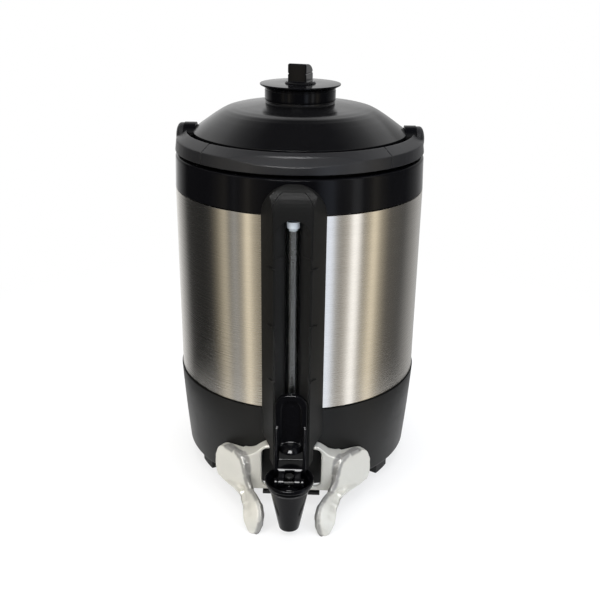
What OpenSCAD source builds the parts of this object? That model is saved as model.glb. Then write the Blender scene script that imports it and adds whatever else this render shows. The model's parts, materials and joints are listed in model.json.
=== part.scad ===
// Insulated drink server with a carrying bail, a sight gauge and a lift-lever faucet.
// Z is up, the front is at -Y, and the origin is on the vessel's axis at the counter.

/* [Vessel] */
// Outside diameter of the steel shell
shell_d = 220; // [200:1:240]
// Height of the bare steel band
band_h = 171.8; // [150:0.1:200]
// Sheet thickness of the shell and the liner
steel_t = 0.8; // [0.6:0.1:1.2]
// Vacuum gap between the shell and the liner
vacuum_gap = 10; // [8:0.5:12]
// Inside corner radius at the liner's floor
liner_corner_r = 18; // [10:1:24]
// Depth that the shell is tucked into the base and the collar
tuck_h = 15; // [10:0.5:18]

/* [Base] */
// Height of the moulded base
base_h = 78.6; // [70:0.1:90]
// Wall of the moulded base
base_wall = 3; // [2.5:0.1:3.2]
// Amount by which the base stands proud of the shell at its top
base_proud = 1; // [0.8:0.1:2]
// Taper of the base from top to bottom, on the radius
base_draft = 5.9; // [4:0.1:8]
// Height of the rubber feet below the base rim
foot_h = 15.7; // [12:0.1:20]
// Width of one rubber foot
foot_w = 20; // [14:1:26]
// Distance from the shell's radius in to the outer face of the feet
foot_inset = 12.7; // [11:0.1:20]
// Angle from the front to the middle of a front foot
foot_angle = 59; // [54:1:64]

/* [Collar] */
// Height of the collar above the steel band
collar_h = 28.4; // [26:0.1:34]
// Wall of the collar outside the tucked shell
collar_wall = 3; // [2.5:0.1:3.2]
// Distance from the shell's radius in to the mouth
mouth_inset = 22; // [21.5:0.5:26]
// Radius of the rounded edge on top of the collar
collar_edge_r = 2.6; // [1:0.1:4]
// Radius of the pivot post's rounded top
post_r = 12; // [11:0.1:13]
// Width of a pivot post along the pivot axis
post_w = 9.8; // [6:0.1:9.9]

/* [Handle] */
// Outside radius of the bail at its lower edge, less the shell's radius
bail_inset = 0.8; // [0:0.1:2]
// Radial depth of the bail
bail_w = 10.4; // [9.6:0.1:11]
// Height of the bail at its inner edge
bail_h = 16; // [14:0.1:16.4]
// Height of the bail at its outer edge
bail_edge_h = 9.5; // [8:0.1:11]
// Gap between the collar and the resting bail
bail_gap = 2.8; // [2.5:0.1:4]
// Half of the angle that the moulded grip covers
grip_angle = 45; // [38:1:52]
// Radius of the eye at each end of the bail
eye_r = 11.4; // [9:0.1:11.5]
// Diameter of the pivot pins
pivot_pin_d = 6; // [5:0.1:7]

/* [Lid] */
// Height of the dome from brim to plateau
dome_h = 24; // [18:0.5:28]
// Distance from the shell's radius in to the lid's brim
lid_inset = 16.5; // [15:0.1:17]
// Height of the brim's lower edge above the collar
lid_lift = 15.9; // [14:0.1:18]
// Wall of the lid's dome
lid_wall = 3; // [2:0.1:3.5]
// Outside radius of the neck
neck_r = 30.3; // [29.5:0.1:32]
// Height of the neck above the plateau
neck_h = 1.8; // [1.5:0.1:4]
// Bore radius of the neck
neck_bore_r = 27; // [25:0.1:27.5]

/* [Cap] */
// Radius of the cap's flange
cap_flange_r = 35; // [33.5:0.1:40]
// Height of the cap above the neck
cap_h = 13.7; // [12:0.1:16]
// Thickness of the cap's flange
cap_flange_t = 2.5; // [2:0.1:3]
// Width of the knob's grip
knob_w = 16.4; // [13:0.1:18]
// Depth of the knob's grip
knob_d = 20.4; // [16:0.1:22]
// Height of the knob above the cap
knob_h = 16.8; // [14:0.1:22]
// Angle by which the knob is turned at rest
knob_turn = 15; // [0:1:30]

/* [Gauge] */
// Half width of the gauge housing where it meets the shell
gauge_half_w = 26; // [23:0.5:30]
// Distance that the gauge lips stand out from the shell
gauge_proud = 14.5; // [13.5:0.1:17]
// Half width of the slot between the lips
slot_half_w = 13.8; // [12:0.1:14.2]
// Width of one lip
lip_w = 1.7; // [1.2:0.1:3]
// Diameter of the sight tube
tube_d = 9.7; // [9:0.1:10]
// Wall of the sight tube
tube_wall = 1.2; // [0.8:0.1:1.6]
// Number of level ribs across the lips
rib_count = 3; // [1:1:3]
// Distance between two level ribs
rib_pitch = 48.8; // [40:0.1:50]

/* [Faucet] */
// Distance from the shell's front to the spout's axis
spout_reach = 41; // [39:0.5:50]
// Height of the faucet's shank above the counter
shank_z = 41; // [40:0.5:42]
// Outside radius of the spout's rim
rim_r = 20.3; // [19.6:0.1:22]
// Outside radius at the spout's tip
tip_r = 8.5; // [8:0.1:10]
// Height of the spout's tip above the counter
tip_z = 5.6; // [4:0.1:7]
// Wall of the spout
spout_wall = 2; // [1.5:0.1:2.2]
// Width of the lever's paddle
lever_w = 26.5; // [25:0.5:28]
// Height of the paddle's top above the shank
lever_top = 78; // [70:1:90]
// Thickness of the paddle
lever_t = 5; // [4:0.1:5.5]

/* [Front stand] */
// Distance from the shell's front to the stand's front face
stand_out = 7; // [6.5:0.1:8]
// Thickness of the cast plate
stand_t = 4; // [3:0.1:4.5]
// Half width of the stand's front plate
stand_half_w = 42; // [38:0.5:44]
// Height of the plate's top edge above the counter
stand_top_z = 63; // [62.5:0.5:68]
// Height of the plate's bottom edge above the counter
stand_bottom_z = 18.5; // [18:0.1:20]
// Thickness of a leg's blade
blade_t = 5; // [4:0.1:6]
// Distance that the toes reach out from the base
toe_reach = 50; // [44:0.5:56]
// Height of a leg's wing above the counter
wing_z = 54; // [50:0.5:58]
// Width of the window for the faucet
window_w = 51.7; // [44:0.1:54]
// Height of the window for the faucet
window_h = 37.3; // [32:0.1:38]

/* [Hidden] */
$fn = 96;

// Clearances and the overrun of cuts
seat_gap = 0.2;
body_gap = 0.3;
run_gap = 0.05;
over = 1;

// Heights of the main joints, from the counter up
shell_r = shell_d / 2;
base_z = foot_h;
band_z = base_z + base_h;
collar_z = band_z + band_h;
collar_top = collar_z + collar_h;

// The shell steps in where it is tucked under the collar and the base
shell_step_h = 1;
tuck_r = shell_r + base_proud - base_wall - shell_step_h - seat_gap;
jacket_z = band_z - tuck_h;
jacket_top = collar_z + tuck_h;
jacket_flange_h = 8;

// Liner
liner_in_r = shell_r - 2 * steel_t - vacuum_gap;
liner_bottom_z = jacket_z + steel_t + vacuum_gap + 2 * shell_step_h;
liner_floor_z = liner_bottom_z + steel_t;

// Base
base_top_r = shell_r + base_proud;
base_belly_share = 0.29;
base_edge_r = 2.5;
ledge_t = 3;
ledge_w = 9;
floor_t = 3;
floor_recess = 2;
floor_z = base_z + floor_recess;
boss_r = 6;
boss_set_in = 5.1;
boss_place_r = base_top_r - base_draft - base_wall - boss_set_in;
boss_angle = 35;
screw_d = 3.2;
screw_head_d = 6.4;
screw_head_h = 2;
screw_len = 14;
foot_out_r = shell_r - foot_inset;
foot_depth = 17.3;
foot_stud_r = 4;

// Bail and pivots
mouth_r = shell_r - mouth_inset;
bail_out_r = shell_r - bail_inset;
bail_in_r = bail_out_r - bail_w;
bail_z = collar_top + bail_gap;
bail_top_lean = 2.2;
post_set_back = 3.3;
pivot_lift = 0.9;
pivot_z = bail_z + bail_h / 2 + pivot_lift;
post_in_x = mouth_r + post_set_back;
post_out_x = post_in_x + post_w;
post_foot_w = 14;
post_relief_r = norm([post_foot_w / 2, pivot_z - collar_top]) + body_gap;
eye_in_x = post_out_x + body_gap;
eye_dome = 4.6;
pin_end_x = bail_out_r - eye_dome / 2;
pin_head_r = 4.5;
pin_head_h = 1.4;
core_w = 3;
core_h = 5.6;
core_lift = 2.6;
grip_seam = 0.3;
grip_screw_angle = 28;
thumb_r_extra = 24.9;
thumb_low = 5.6;
thumb_high = 13;
thumb_in = 0.5;
thumb_deep = 7.2;

// Lid
lid_r = shell_r - lid_inset;
brim_edge_h = 2.8;
brim_z = collar_top + lid_lift + brim_edge_h;
skirt_step = 1;
skirt_r = lid_r - skirt_step;
plateau_z = brim_z + dome_h;
neck_top = plateau_z + neck_h;
lid_seat_z = collar_top + body_gap;
plug_gap = 1;
plug_r = mouth_r - plug_gap;
plug_depth = 10.5;
plug_wall = 3;
gasket_r = mouth_r - body_gap;
gasket_h = 4;
gasket_w = 2.7;
lid_base_t = 3;
lid_tube_wall = 2;
notch_gap = 0.7;
notch_half_w = post_r + notch_gap;
dome_r_shares = [1.0, 0.96, 0.90, 0.83, 0.76, 0.70, 0.64, 0.56, 0.45, 0.34];
dome_h_shares = [0.0, 0.11, 0.28, 0.47, 0.645, 0.77, 0.84, 0.89, 0.955, 1.0];

// Cap, vent and knob
cap_top = neck_top + cap_h + body_gap;
cap_step = 0.5;
cap_skirt_r = neck_r + cap_step;
cap_plug_r = neck_bore_r - cap_step;
cap_plug_depth = 13;
cap_plug_wall = 2;
cap_floor_t = 2.5;
cap_groove_w = 0.9;
cap_groove_d = 0.7;
cap_ring_w = 2;
cap_ring_h = 2.4;
knob_base_r = 13.6;
knob_base_h = 1.8;
knob_waist_h = 1.6;
knob_waist_d = 0.9;
knob_waist_share = 0.4;
knob_bevel = 0.8;
knob_back_fall = 9;
knob_stem_r = 3;
shutter_t = 2.2;
shutter_r = 23;
vent_r = 5;
vent_place_r = 14;
cap_floor_z = neck_top - cap_plug_depth;
shutter_z = cap_floor_z - body_gap - shutter_t;

// Gauge
lips_y = shell_r + gauge_proud;
gauge_foot_rise = 2;
gauge_bottom_z = shank_z + gauge_foot_rise;
gauge_arch_drop = 0.6;
gauge_arch_z = collar_z - gauge_arch_drop;
gauge_top_z = gauge_arch_z + gauge_half_w;
gauge_top_depth = 17;
slot_drop = 6.3;
slot_bottom_z = band_z - slot_drop;
slot_rise = 0.2;
slot_top_z = collar_z + slot_rise;
tube_r = tube_d / 2;
tube_out = 6.2;
tube_y = shell_r + tube_out;
tube_seat_depth = 11;
tube_bottom_z = slot_bottom_z - tube_seat_depth;
tube_top_drop = 8;
tube_top_z = slot_top_z - tube_top_drop;
tube_side_gap = 1.2;
tube_pocket_w = tube_r + tube_side_gap;
gauge_floor_t = 1;
gauge_cap_h = 5.2;
gauge_cap_lip = 0.3;
gauge_cap_sink = 2;
cover_set_in = 0.2;
cover_half_w = slot_half_w + lip_w - cover_set_in;
cover_drop = 31;
cover_bottom_z = slot_top_z - cover_drop;
cover_top_drop = 2.5;
cover_round_z = gauge_top_z - cover_half_w - cover_top_drop;
cover_set_out = 1.4;
cover_back_y = tube_y + cover_set_out;
rib_drop = 10;
rib_first_z = cover_bottom_z - rib_drop;
rib_h = 1.5;
rib_proud = 0.9;
rib_in = 3.4;
rib_out = 4;
seal_w = 0.75;
seal_r = tube_r + seal_w;
socket_wall = 1;
socket_r = seal_r + socket_wall;
socket_depth = 12;
socket_bottom_z = tube_bottom_z - socket_depth;
socket_sink = 2;
socket_top_z = slot_bottom_z - socket_sink;
spigot_rise = 5;
socket_spigot_z = socket_bottom_z + spigot_rise;
spigot_r = 4.5;
spigot_bore_r = 2.5;
spigot_set_back = 12;
spigot_end_y = shell_r - spigot_set_back;
nose_chamfer = 8;

// Outlet
pipe_inset = 40;
pipe_y = shell_r - pipe_inset;
pipe_r = 8;
pipe_wall = 1.2;
pipe_bend_r = 14;
pipe_set_back = 15;
pipe_end_y = shell_r - pipe_set_back;
pipe_flange_r = 11;
pipe_flange_t = 2;
outlet_seal_t = 1.5;
branch_r = 4;

// Faucet
spout_y = shell_r + spout_reach;
shank_r = 9;
shank_bore_r = 4.8;
shank_end_y = pipe_end_y + outlet_seal_t;
flange_r = 14;
flange_t = 3;
flange_sink = 1;
flange_y = shell_r - flange_sink;
nut_h = 6;
nut_af = 26;
nut_set_back = 7.2;
nut_front_y = shell_r - nut_set_back;
chamber_r = 10;
chamber_bore_r = 8;
chamber_drop = 14;
chamber_rise = 5.5;
chamber_bottom_z = shank_z - chamber_drop;
chamber_top_z = shank_z + chamber_rise;
seat_t = 3;
seat_hole_r = 5;
bonnet_t = 1.6;
bonnet_r = 10.6;
bonnet_top = chamber_top_z + bonnet_t;
guide_r = 4.4;
guide_h = 1.2;
pin_out = 5;
pin_rise = 11;
pin_y = spout_y + pin_out;
pin_z = shank_z + pin_rise;
pin_r = 1.5;
ear_in_x = 9.7;
ear_t = 2.6;
ear_r = 3.6;
rim_rise = 12.3;
rim_z = shank_z + rim_rise;
rim_band_h = 3.3;
neck_band_r = 18.2;
neck_band_rise = 5.2;
neck_band_z = shank_z + neck_band_rise;
cone_r = 16.5;
cone_rise = 3.3;
cone_z = shank_z + cone_rise;
spout_rib_h = 2.4;
spout_rib_rise = 1.6;
spout_rib_z = chamber_bottom_z + spout_rib_rise;

// Valve
stem_r = 2;
stem_head_r = 3.6;
stem_head_t = 1.5;
stem_head_rise = 2.2;
stem_head_z = pin_z + stem_head_rise;
stem_collar_r = 3;
cup_r = 6.6;
cup_h = 7;
cup_lip_h = 2.4;
cup_wall = 1;
cup_hold_r = 4.2;
spring_r = 5.2;
spring_wire_r = 0.55;
spring_turns = 4;

// Lever
lever_gap = 1.5;
lever_back_y = lips_y + lever_gap;
lever_front_y = lever_back_y + lever_t;
lever_top_z = shank_z + lever_top;
lever_corner_r = 11;
panel_w = 17;
panel_depth = 2;
panel_top_drop = 5;
foot_plate_t = 2.2;
foot_plate_rise = 0.6;
foot_plate_z = rim_z + foot_plate_rise;
dome_ledge_r = 10.3;
dome_ledge_h = 6.5;
dome_ledge_rise = 13.6;
dome_ledge_z = foot_plate_z + dome_ledge_rise;
panel_rise = 5;
panel_low_z = dome_ledge_z + panel_rise;
pocket_depth = 3.4;
cheek_t = 2.5;
cheek_h = 17;
lip_r = 2;
lip_set_back = 8;
lip_y = spout_y - lip_set_back;
fork_in_x = 4.1;
fork_out_x = 9.4;
fork_boss_r = 3.4;
finger_r = 1.1;
finger_gap = 0.35;
finger_end_x = stem_r + finger_gap;

// Front stand
stand_front_y = shell_r + stand_out;
stand_wall = 3;
stand_lip_z = 52;
ledge_z = 51;
wing_out = 20;
wing_x = stand_half_w + wing_out;
wing_back = 17;
wing_y = shell_r - wing_back;
window_drop = 18.6;
window_z = shank_z - window_drop;
window_r = 5;
nose_slot_w = 18.6;
stand_boss_r = 4;
stand_boss_angle = 19;
stand_boss_z = 30;
clip_w = 50;
clip_h = 2.4;
clip_depth = 5;
clip_z = 14;
clip_tab_w = 20;
clip_tab_t = 2;
clip_tab_h = 7.5;
plate_x_shares = [0, 0.50, 0.62, 0.76, 0.88, 1];
plate_drop_shares = [0, 0.03, 0.25, 0.72, 0.93, 1];

// Stations along a leg, from the wing's top to the toe: the angle from the front, the distance
// out from the base as a share of the toe's reach, and the height as a share of the wing's
outer_angles = [34.0, 37.2, 38.0, 37.0, 31.6, 24.8, 19.5, 16.2, 14.8, 13.2, 11.6];
outer_reach_shares = [0.09, 0.07, 0.07, 0.07, 0.156, 0.333, 0.517, 0.71, 0.87, 0.955, 0.985];
outer_height_shares = [0.93, 0.74, 0.50, 0.31, 0.287, 0.324, 0.354, 0.27, 0.15, 0.05, -0.03];
inner_angles = [30.1, 22.8, 19.6, 18.1, 17.0, 14.8, 12.3, 9.8, 8.5, 8.3, 9.4];
inner_reach_shares = [0.12, 0.24, 0.32, 0.36, 0.383, 0.438, 0.544, 0.694, 0.825, 0.94, 0.97];
inner_height_shares = [0.96, 0.98, 0.92, 0.80, 0.60, 0.443, 0.411, 0.378, 0.29, 0.14, -0.01];
leg_steps = 3;
blade_sides = 16;

// Points of an arc about a centre
function arc_points(c, r, a0, a1, n) =
    [for (i = [0 : n]) [c[0] + r * cos(a0 + (a1 - a0) * i / n), c[1] + r * sin(a0 + (a1 - a0) * i / n)]];

// A smooth curve through a list of points or numbers, with n steps between two of them
function pick(p, i) = p[max(0, min(len(p) - 1, i))];
function blend(p, i, t) =
    let (
        a = pick(p, i - 1),
        b = pick(p, i),
        c = pick(p, i + 1),
        d = pick(p, i + 2),
        slope = (c - a) / 2,
        bend = a - b + (c - b) * 3 / 2 - (d - b) / 2,
        twist = (b - c) * 3 / 2 + (d - a) / 2
    )
    b + t * (slope + t * (bend + t * twist));
function smooth(p, n) =
    [for (i = [0 : len(p) - 2]) for (k = [0 : n - 1]) blend(p, i, k / n), p[len(p) - 1]];
function backwards(p) = [for (i = [len(p) - 1 : -1 : 0]) p[i]];
function unit(v) = v / norm(v);
function polar(a, r, z) = [r * sin(a), -r * cos(a), z];

// Radius of the base's outside at a share of its height, from the top down
function base_r_at(s) = base_top_r - base_draft * s + base_draft * base_belly_share * s * (1 - s);
function base_r_at_z(z) = base_r_at((band_z - z) / base_h);

// The vessel's outside as a solid of revolution, grown by a gap
module vessel_form(gap) {
    steps = 8;
    wall = [for (i = [0 : steps]) [base_r_at(1 - i / steps) + gap, base_z + base_h * i / steps]];
    rotate_extrude()
        polygon(concat(
            [[0, base_z]],
            wall,
            [
                [shell_r + gap, band_z + gap],
                [shell_r + gap, collar_top],
                [0, collar_top]
            ]
        ));
}

// Repeats its child on both sides of the vessel
module both_sides() {
    children();
    mirror([1, 0, 0])
        children();
}

// A cylinder that lies along the faucet's direction, from a near to a far distance from the axis
module along_y(r, y_near, y_far, z) {
    translate([0, -y_near, z])
        rotate([90, 0, 0])
            cylinder(r = r, h = y_far - y_near);
}

// A cylinder across the vessel, from one place to another
module along_x(r, x_from, x_to, y, z) {
    translate([x_from, y, z])
        rotate([0, 90, 0])
            cylinder(r = r, h = x_to - x_from);
}

// A flat outline in X and Z, pulled along Y from a near to a far distance
module front_extrude(y_near, y_far) {
    translate([0, -y_near, 0])
        rotate([90, 0, 0])
            linear_extrude(height = y_far - y_near)
                children();
}

// A flat outline in distance and Z, pulled along X over a width
module side_extrude(width) {
    translate([-width / 2, 0, 0])
        rotate([90, 0, 90])
            linear_extrude(height = width)
                children();
}

// Vessel

module outer_shell() {
    outside = [
        [tuck_r, jacket_z],
        [tuck_r, band_z],
        [shell_r, band_z + shell_step_h],
        [shell_r, collar_z - shell_step_h],
        [tuck_r, collar_z],
        [tuck_r, jacket_top]
    ];
    inside = [
        [tuck_r - steel_t, jacket_top],
        [tuck_r - steel_t, collar_z - steel_t],
        [shell_r - steel_t, collar_z - shell_step_h - steel_t],
        [shell_r - steel_t, band_z + shell_step_h + steel_t],
        [tuck_r - steel_t, band_z + steel_t],
        [tuck_r - steel_t, jacket_z]
    ];
    color("silver")
        rotate_extrude()
            polygon(concat(outside, inside));
}

module inner_liner() {
    corner = [liner_in_r - liner_corner_r, liner_floor_z + liner_corner_r];
    color("gainsboro")
        difference() {
            rotate_extrude()
                polygon(concat(
                    [[0, liner_bottom_z]],
                    arc_points(corner, liner_corner_r + steel_t, -90, 0, 8),
                    [
                        [liner_in_r + steel_t, jacket_top],
                        [tuck_r, jacket_top],
                        [tuck_r, jacket_top + steel_t],
                        [liner_in_r, jacket_top + steel_t]
                    ],
                    arc_points(corner, liner_corner_r, 0, -90, 8),
                    [[0, liner_floor_z]]
                ));
            translate([0, -pipe_y, jacket_z])
                cylinder(r = pipe_r + run_gap, h = tuck_h + vacuum_gap);
        }
}

module jacket_bottom() {
    flange_out_r = tuck_r - steel_t - run_gap;
    color("silver")
        difference() {
            rotate_extrude()
                polygon([
                    [0, jacket_z],
                    [flange_out_r, jacket_z],
                    [flange_out_r, jacket_z + jacket_flange_h],
                    [flange_out_r - steel_t, jacket_z + jacket_flange_h],
                    [flange_out_r - steel_t, jacket_z + steel_t],
                    [0, jacket_z + steel_t]
                ]);
            translate([0, -pipe_y, jacket_z - over])
                cylinder(r = pipe_r + run_gap, h = steel_t + 2 * over);
        }
}

module top_collar() {
    edge = [shell_r - base_proud + seat_gap - collar_edge_r, collar_top - collar_edge_r];
    inner_r = tuck_r + seat_gap;
    color([0.05, 0.05, 0.06])
        difference() {
            union() {
                rotate_extrude()
                    polygon(concat(
                        [[inner_r, collar_z + run_gap], [inner_r + collar_wall, collar_z + run_gap]],
                        arc_points(edge, collar_edge_r, 0, 90, 6),
                        [
                            [mouth_r, collar_top],
                            [mouth_r, jacket_top + steel_t + seat_gap],
                            [inner_r, jacket_top + steel_t + seat_gap]
                        ]
                    ));
                both_sides()
                    pivot_post();
            }
            both_sides()
                along_x(pivot_pin_d / 2 + run_gap, post_in_x + pin_head_h, shell_r, 0, pivot_z);
            both_sides()
                along_x(pin_head_r + seat_gap, post_in_x - over, post_in_x + pin_head_h, 0, pivot_z);
        }
}

// One of the two posts that carry the bail, with its rounded top
module pivot_post() {
    along_x(post_r, post_in_x, post_out_x, 0, pivot_z);
    translate([post_in_x, -post_foot_w / 2, collar_top - over / 2])
        cube([post_w, post_foot_w, pivot_z - collar_top + over / 2]);
}

// Base

module base_shell() {
    steps = 8;
    low_share = 1 - base_edge_r / base_h;
    low_r = base_r_at(low_share);
    outside = [for (i = [0 : steps])
        let (s = low_share * (1 - i / steps))
        [base_r_at(s), band_z - base_h * s]];
    inside = [for (i = [0 : steps]) [base_r_at(i / steps) - base_wall, band_z - base_h * i / steps]];
    ledge_top = jacket_z - seat_gap;
    wall_in_r = base_r_at_z(ledge_top) - base_wall;
    color([0.14, 0.14, 0.14])
        difference() {
            union() {
                rotate_extrude()
                    polygon(concat(
                        arc_points([low_r - base_edge_r, base_z + base_edge_r], base_edge_r, -90, 0, 5),
                        outside,
                        inside
                    ));
                translate([0, 0, ledge_top - ledge_t])
                    difference() {
                        cylinder(r = wall_in_r + base_wall / 2, h = ledge_t);
                        translate([0, 0, -over])
                            cylinder(r = wall_in_r - ledge_w, h = ledge_t + 2 * over);
                    }
                floor_bosses(boss_r, floor_z + floor_t, ledge_top);
            }
            floor_bosses(screw_d / 2 - run_gap, floor_z, floor_z + floor_t + screw_len);
            along_y(shank_r + seat_gap, boss_place_r, shell_r + over, shank_z);
            along_y(spigot_r + seat_gap, boss_place_r, shell_r + over, socket_spigot_z);
            stand_screw_places()
                cylinder(r = screw_d / 2 + run_gap, h = shell_r);
        }
}

// The four places where the floor is screwed to the base
module floor_bosses(r, z_from, z_to) {
    for (a = [boss_angle, 180 - boss_angle, 180 + boss_angle, -boss_angle])
        rotate([0, 0, a])
            translate([0, -boss_place_r, z_from])
                cylinder(r = r, h = z_to - z_from);
}

module base_floor() {
    plate_r = base_r_at(1) - base_wall - seat_gap;
    color([0.1, 0.1, 0.1])
        difference() {
            translate([0, 0, floor_z])
                cylinder(r = plate_r, h = floor_t);
            floor_bosses(screw_d / 2 + run_gap, floor_z - over, floor_z + floor_t + over);
            floor_bosses(screw_head_d / 2 + seat_gap, floor_z - over, floor_z + screw_head_h);
            foot_studs(foot_stud_r + run_gap, floor_z - over, floor_t + 2 * over);
        }
}

module floor_screws() {
    color("silver") {
        floor_bosses(screw_head_d / 2, floor_z, floor_z + screw_head_h);
        floor_bosses(screw_d / 2 - run_gap, floor_z + screw_head_h - run_gap, floor_z + screw_len);
    }
}

// The middle of each foot, on the counter
module foot_places() {
    for (a = [foot_angle, 180 - foot_angle, 180 + foot_angle, -foot_angle])
        rotate([0, 0, a])
            translate([0, foot_depth / 2 - foot_out_r, 0])
                children();
}

// What holds the four feet and the middle foot in the floor
module foot_studs(r, z_from, h) {
    foot_places()
        translate([0, 0, z_from])
            cylinder(r = r, h = h);
    translate([0, 0, z_from])
        cylinder(r = r, h = h);
}

module feet() {
    color([0.07, 0.07, 0.07]) {
        intersection() {
            foot_places()
                translate([-foot_w / 2, -foot_depth, 0])
                    cube([foot_w, foot_depth * 3 / 2, floor_z]);
            cylinder(r = foot_out_r, h = floor_z);
        }
        cylinder(r = foot_w / 2, h = floor_z);
        foot_studs(foot_stud_r, floor_z - run_gap, floor_t + run_gap);
    }
}

// Front stand

// Stations of one leg: the outer and the inner edge of its blade
function leg_edge(angles, reaches, heights) =
    let (a = smooth(angles, leg_steps), r = smooth(reaches, leg_steps), h = smooth(heights, leg_steps))
    [for (i = [0 : len(a) - 1])
        polar(a[i], base_r_at_z(stand_lip_z) + r[i] * toe_reach, h[i] * wing_z)];

// One ring of the blade: a flat oval between the two edges
function blade_ring(o, i, along) =
    let (
        across = unit(i - o),
        out = unit(cross(across, along)),
        half = norm(i - o) / 2,
        mid = (i + o) / 2,
        round = blade_t / 2,
        straight = max(half - round, round / 4)
    )
    [for (k = [0 : blade_sides - 1])
        let (a = 360 * (k + 1 / 2) / blade_sides, side = cos(a) > 0 ? 1 : -1)
        mid + across * (side * straight + round * cos(a)) + out * round * sin(a)];

// A solid through a list of rings that have equally many points
module loft(rings) {
    n = len(rings[0]);
    m = len(rings);
    polyhedron(
        points = [for (ring = rings) each ring],
        faces = concat(
            [[for (k = [0 : n - 1]) k]],
            [for (j = [0 : m - 2]) for (k = [0 : n - 1])
                [j * n + k, (j + 1) * n + k, (j + 1) * n + (k + 1) % n]],
            [for (j = [0 : m - 2]) for (k = [0 : n - 1])
                [j * n + k, (j + 1) * n + (k + 1) % n, j * n + (k + 1) % n]],
            [[for (k = [n - 1 : -1 : 0]) (m - 1) * n + k]]
        )
    );
}

module leg_blade() {
    outer = leg_edge(outer_angles, outer_reach_shares, outer_height_shares);
    inner = leg_edge(inner_angles, inner_reach_shares, inner_height_shares);
    last = len(outer) - 1;
    mids = [for (i = [0 : last]) (outer[i] + inner[i]) / 2];
    loft([for (i = [0 : last])
        backwards(blade_ring(outer[i], inner[i], unit(mids[min(i + 1, last)] - mids[max(i - 1, 0)])))]);
}

// Front outline of the cast plate, with its top falling to a valley on each side
module plate_outline(inset) {
    xs = smooth(plate_x_shares, 3) * (stand_half_w - inset);
    drops = smooth(plate_drop_shares, 3) * (stand_top_z - stand_lip_z);
    right = [for (i = [0 : len(xs) - 1]) [xs[i], stand_top_z - inset - drops[i]]];
    left = [for (p = backwards(right)) [-p[0], p[1]]];
    low = stand_bottom_z - (inset > 0 ? over : 0);
    polygon(concat(
        [[-stand_half_w + inset, low], [stand_half_w - inset, low]],
        backwards(right),
        backwards(left)
    ));
}

module window_outline() {
    x = window_w / 2 - window_r;
    top = window_z + window_h - window_r;
    low = window_z + window_r;
    polygon(concat(
        arc_points([x, top], window_r, 0, 90, 5),
        arc_points([-x, top], window_r, 90, 180, 5),
        arc_points([-x, low], window_r, 180, 270, 5),
        arc_points([x, low], window_r, 270, 360, 5)
    ));
}

// The screws that hold the stand go out through the base wall
module stand_screw_places() {
    for (side = [-1, 1])
        rotate([0, 0, side * stand_boss_angle])
            translate([0, 0, stand_boss_z])
                rotate([90, 0, 0])
                    children();
}

// Flat web between the wings and the plate, seen from above
module ledge_outline() {
    rim = arc_points([0, 0], shell_r - over, -90 - outer_angles[0], -90 + outer_angles[0], 24);
    polygon(concat(
        rim,
        [
            [wing_x, -wing_y],
            [stand_half_w, -stand_front_y],
            [-stand_half_w, -stand_front_y],
            [-wing_x, -wing_y]
        ]
    ));
}

module front_stand() {
    back_y = shell_r * cos(outer_angles[0]);
    plate_back = stand_front_y - stand_t;
    boss_end = (plate_back + over) / cos(stand_boss_angle);
    color([0.85, 0.85, 0.83])
        intersection() {
            difference() {
                union() {
                    difference() {
                        front_extrude(back_y, stand_front_y)
                            plate_outline(0);
                        front_extrude(back_y - over, plate_back)
                            plate_outline(stand_wall);
                    }
                    translate([0, 0, ledge_z - stand_wall])
                        linear_extrude(height = stand_wall)
                            ledge_outline();
                    stand_screw_places()
                        translate([0, 0, base_r_at_z(stand_boss_z) - over])
                            cylinder(r = stand_boss_r, h = boss_end - base_r_at_z(stand_boss_z) + over);
                    both_sides()
                        leg_blade();
                }
                vessel_form(body_gap);
                front_extrude(back_y - over, stand_front_y + over)
                    window_outline();
                front_extrude(back_y - over, stand_front_y + over)
                    translate([-nose_slot_w - seat_gap, window_z + window_h / 2])
                        square([2 * (nose_slot_w + seat_gap), stand_top_z]);
                stand_screw_places()
                    cylinder(r = screw_d / 2 - run_gap, h = base_r_at_z(stand_boss_z) + screw_len / 2);
            }
            translate([-shell_r, -2 * shell_r, 0])
                cube([2 * shell_r, 2 * shell_r, collar_top]);
        }
}

module stand_screws() {
    wall_in = base_r_at_z(stand_boss_z) - base_wall;
    head_end = base_r_at_z(stand_boss_z - screw_head_d / 2) - base_wall - seat_gap;
    color("silver")
        stand_screw_places() {
            translate([0, 0, head_end - screw_head_h])
                cylinder(r = screw_head_d / 2, h = screw_head_h);
            translate([0, 0, head_end - run_gap])
                cylinder(r = screw_d / 2 - run_gap, h = wall_in - head_end + screw_len / 2);
        }
}

// A bar under the plate's lower edge, held by a tab that lies against the plate's back
module stand_clip() {
    color([0.06, 0.06, 0.06]) {
        translate([-clip_w / 2, -stand_front_y, clip_z])
            cube([clip_w, clip_depth, clip_h]);
        translate([-clip_tab_w / 2, -stand_front_y + stand_t, clip_z])
            cube([clip_tab_w, clip_tab_t, clip_tab_h]);
    }
}

// Gauge

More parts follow.
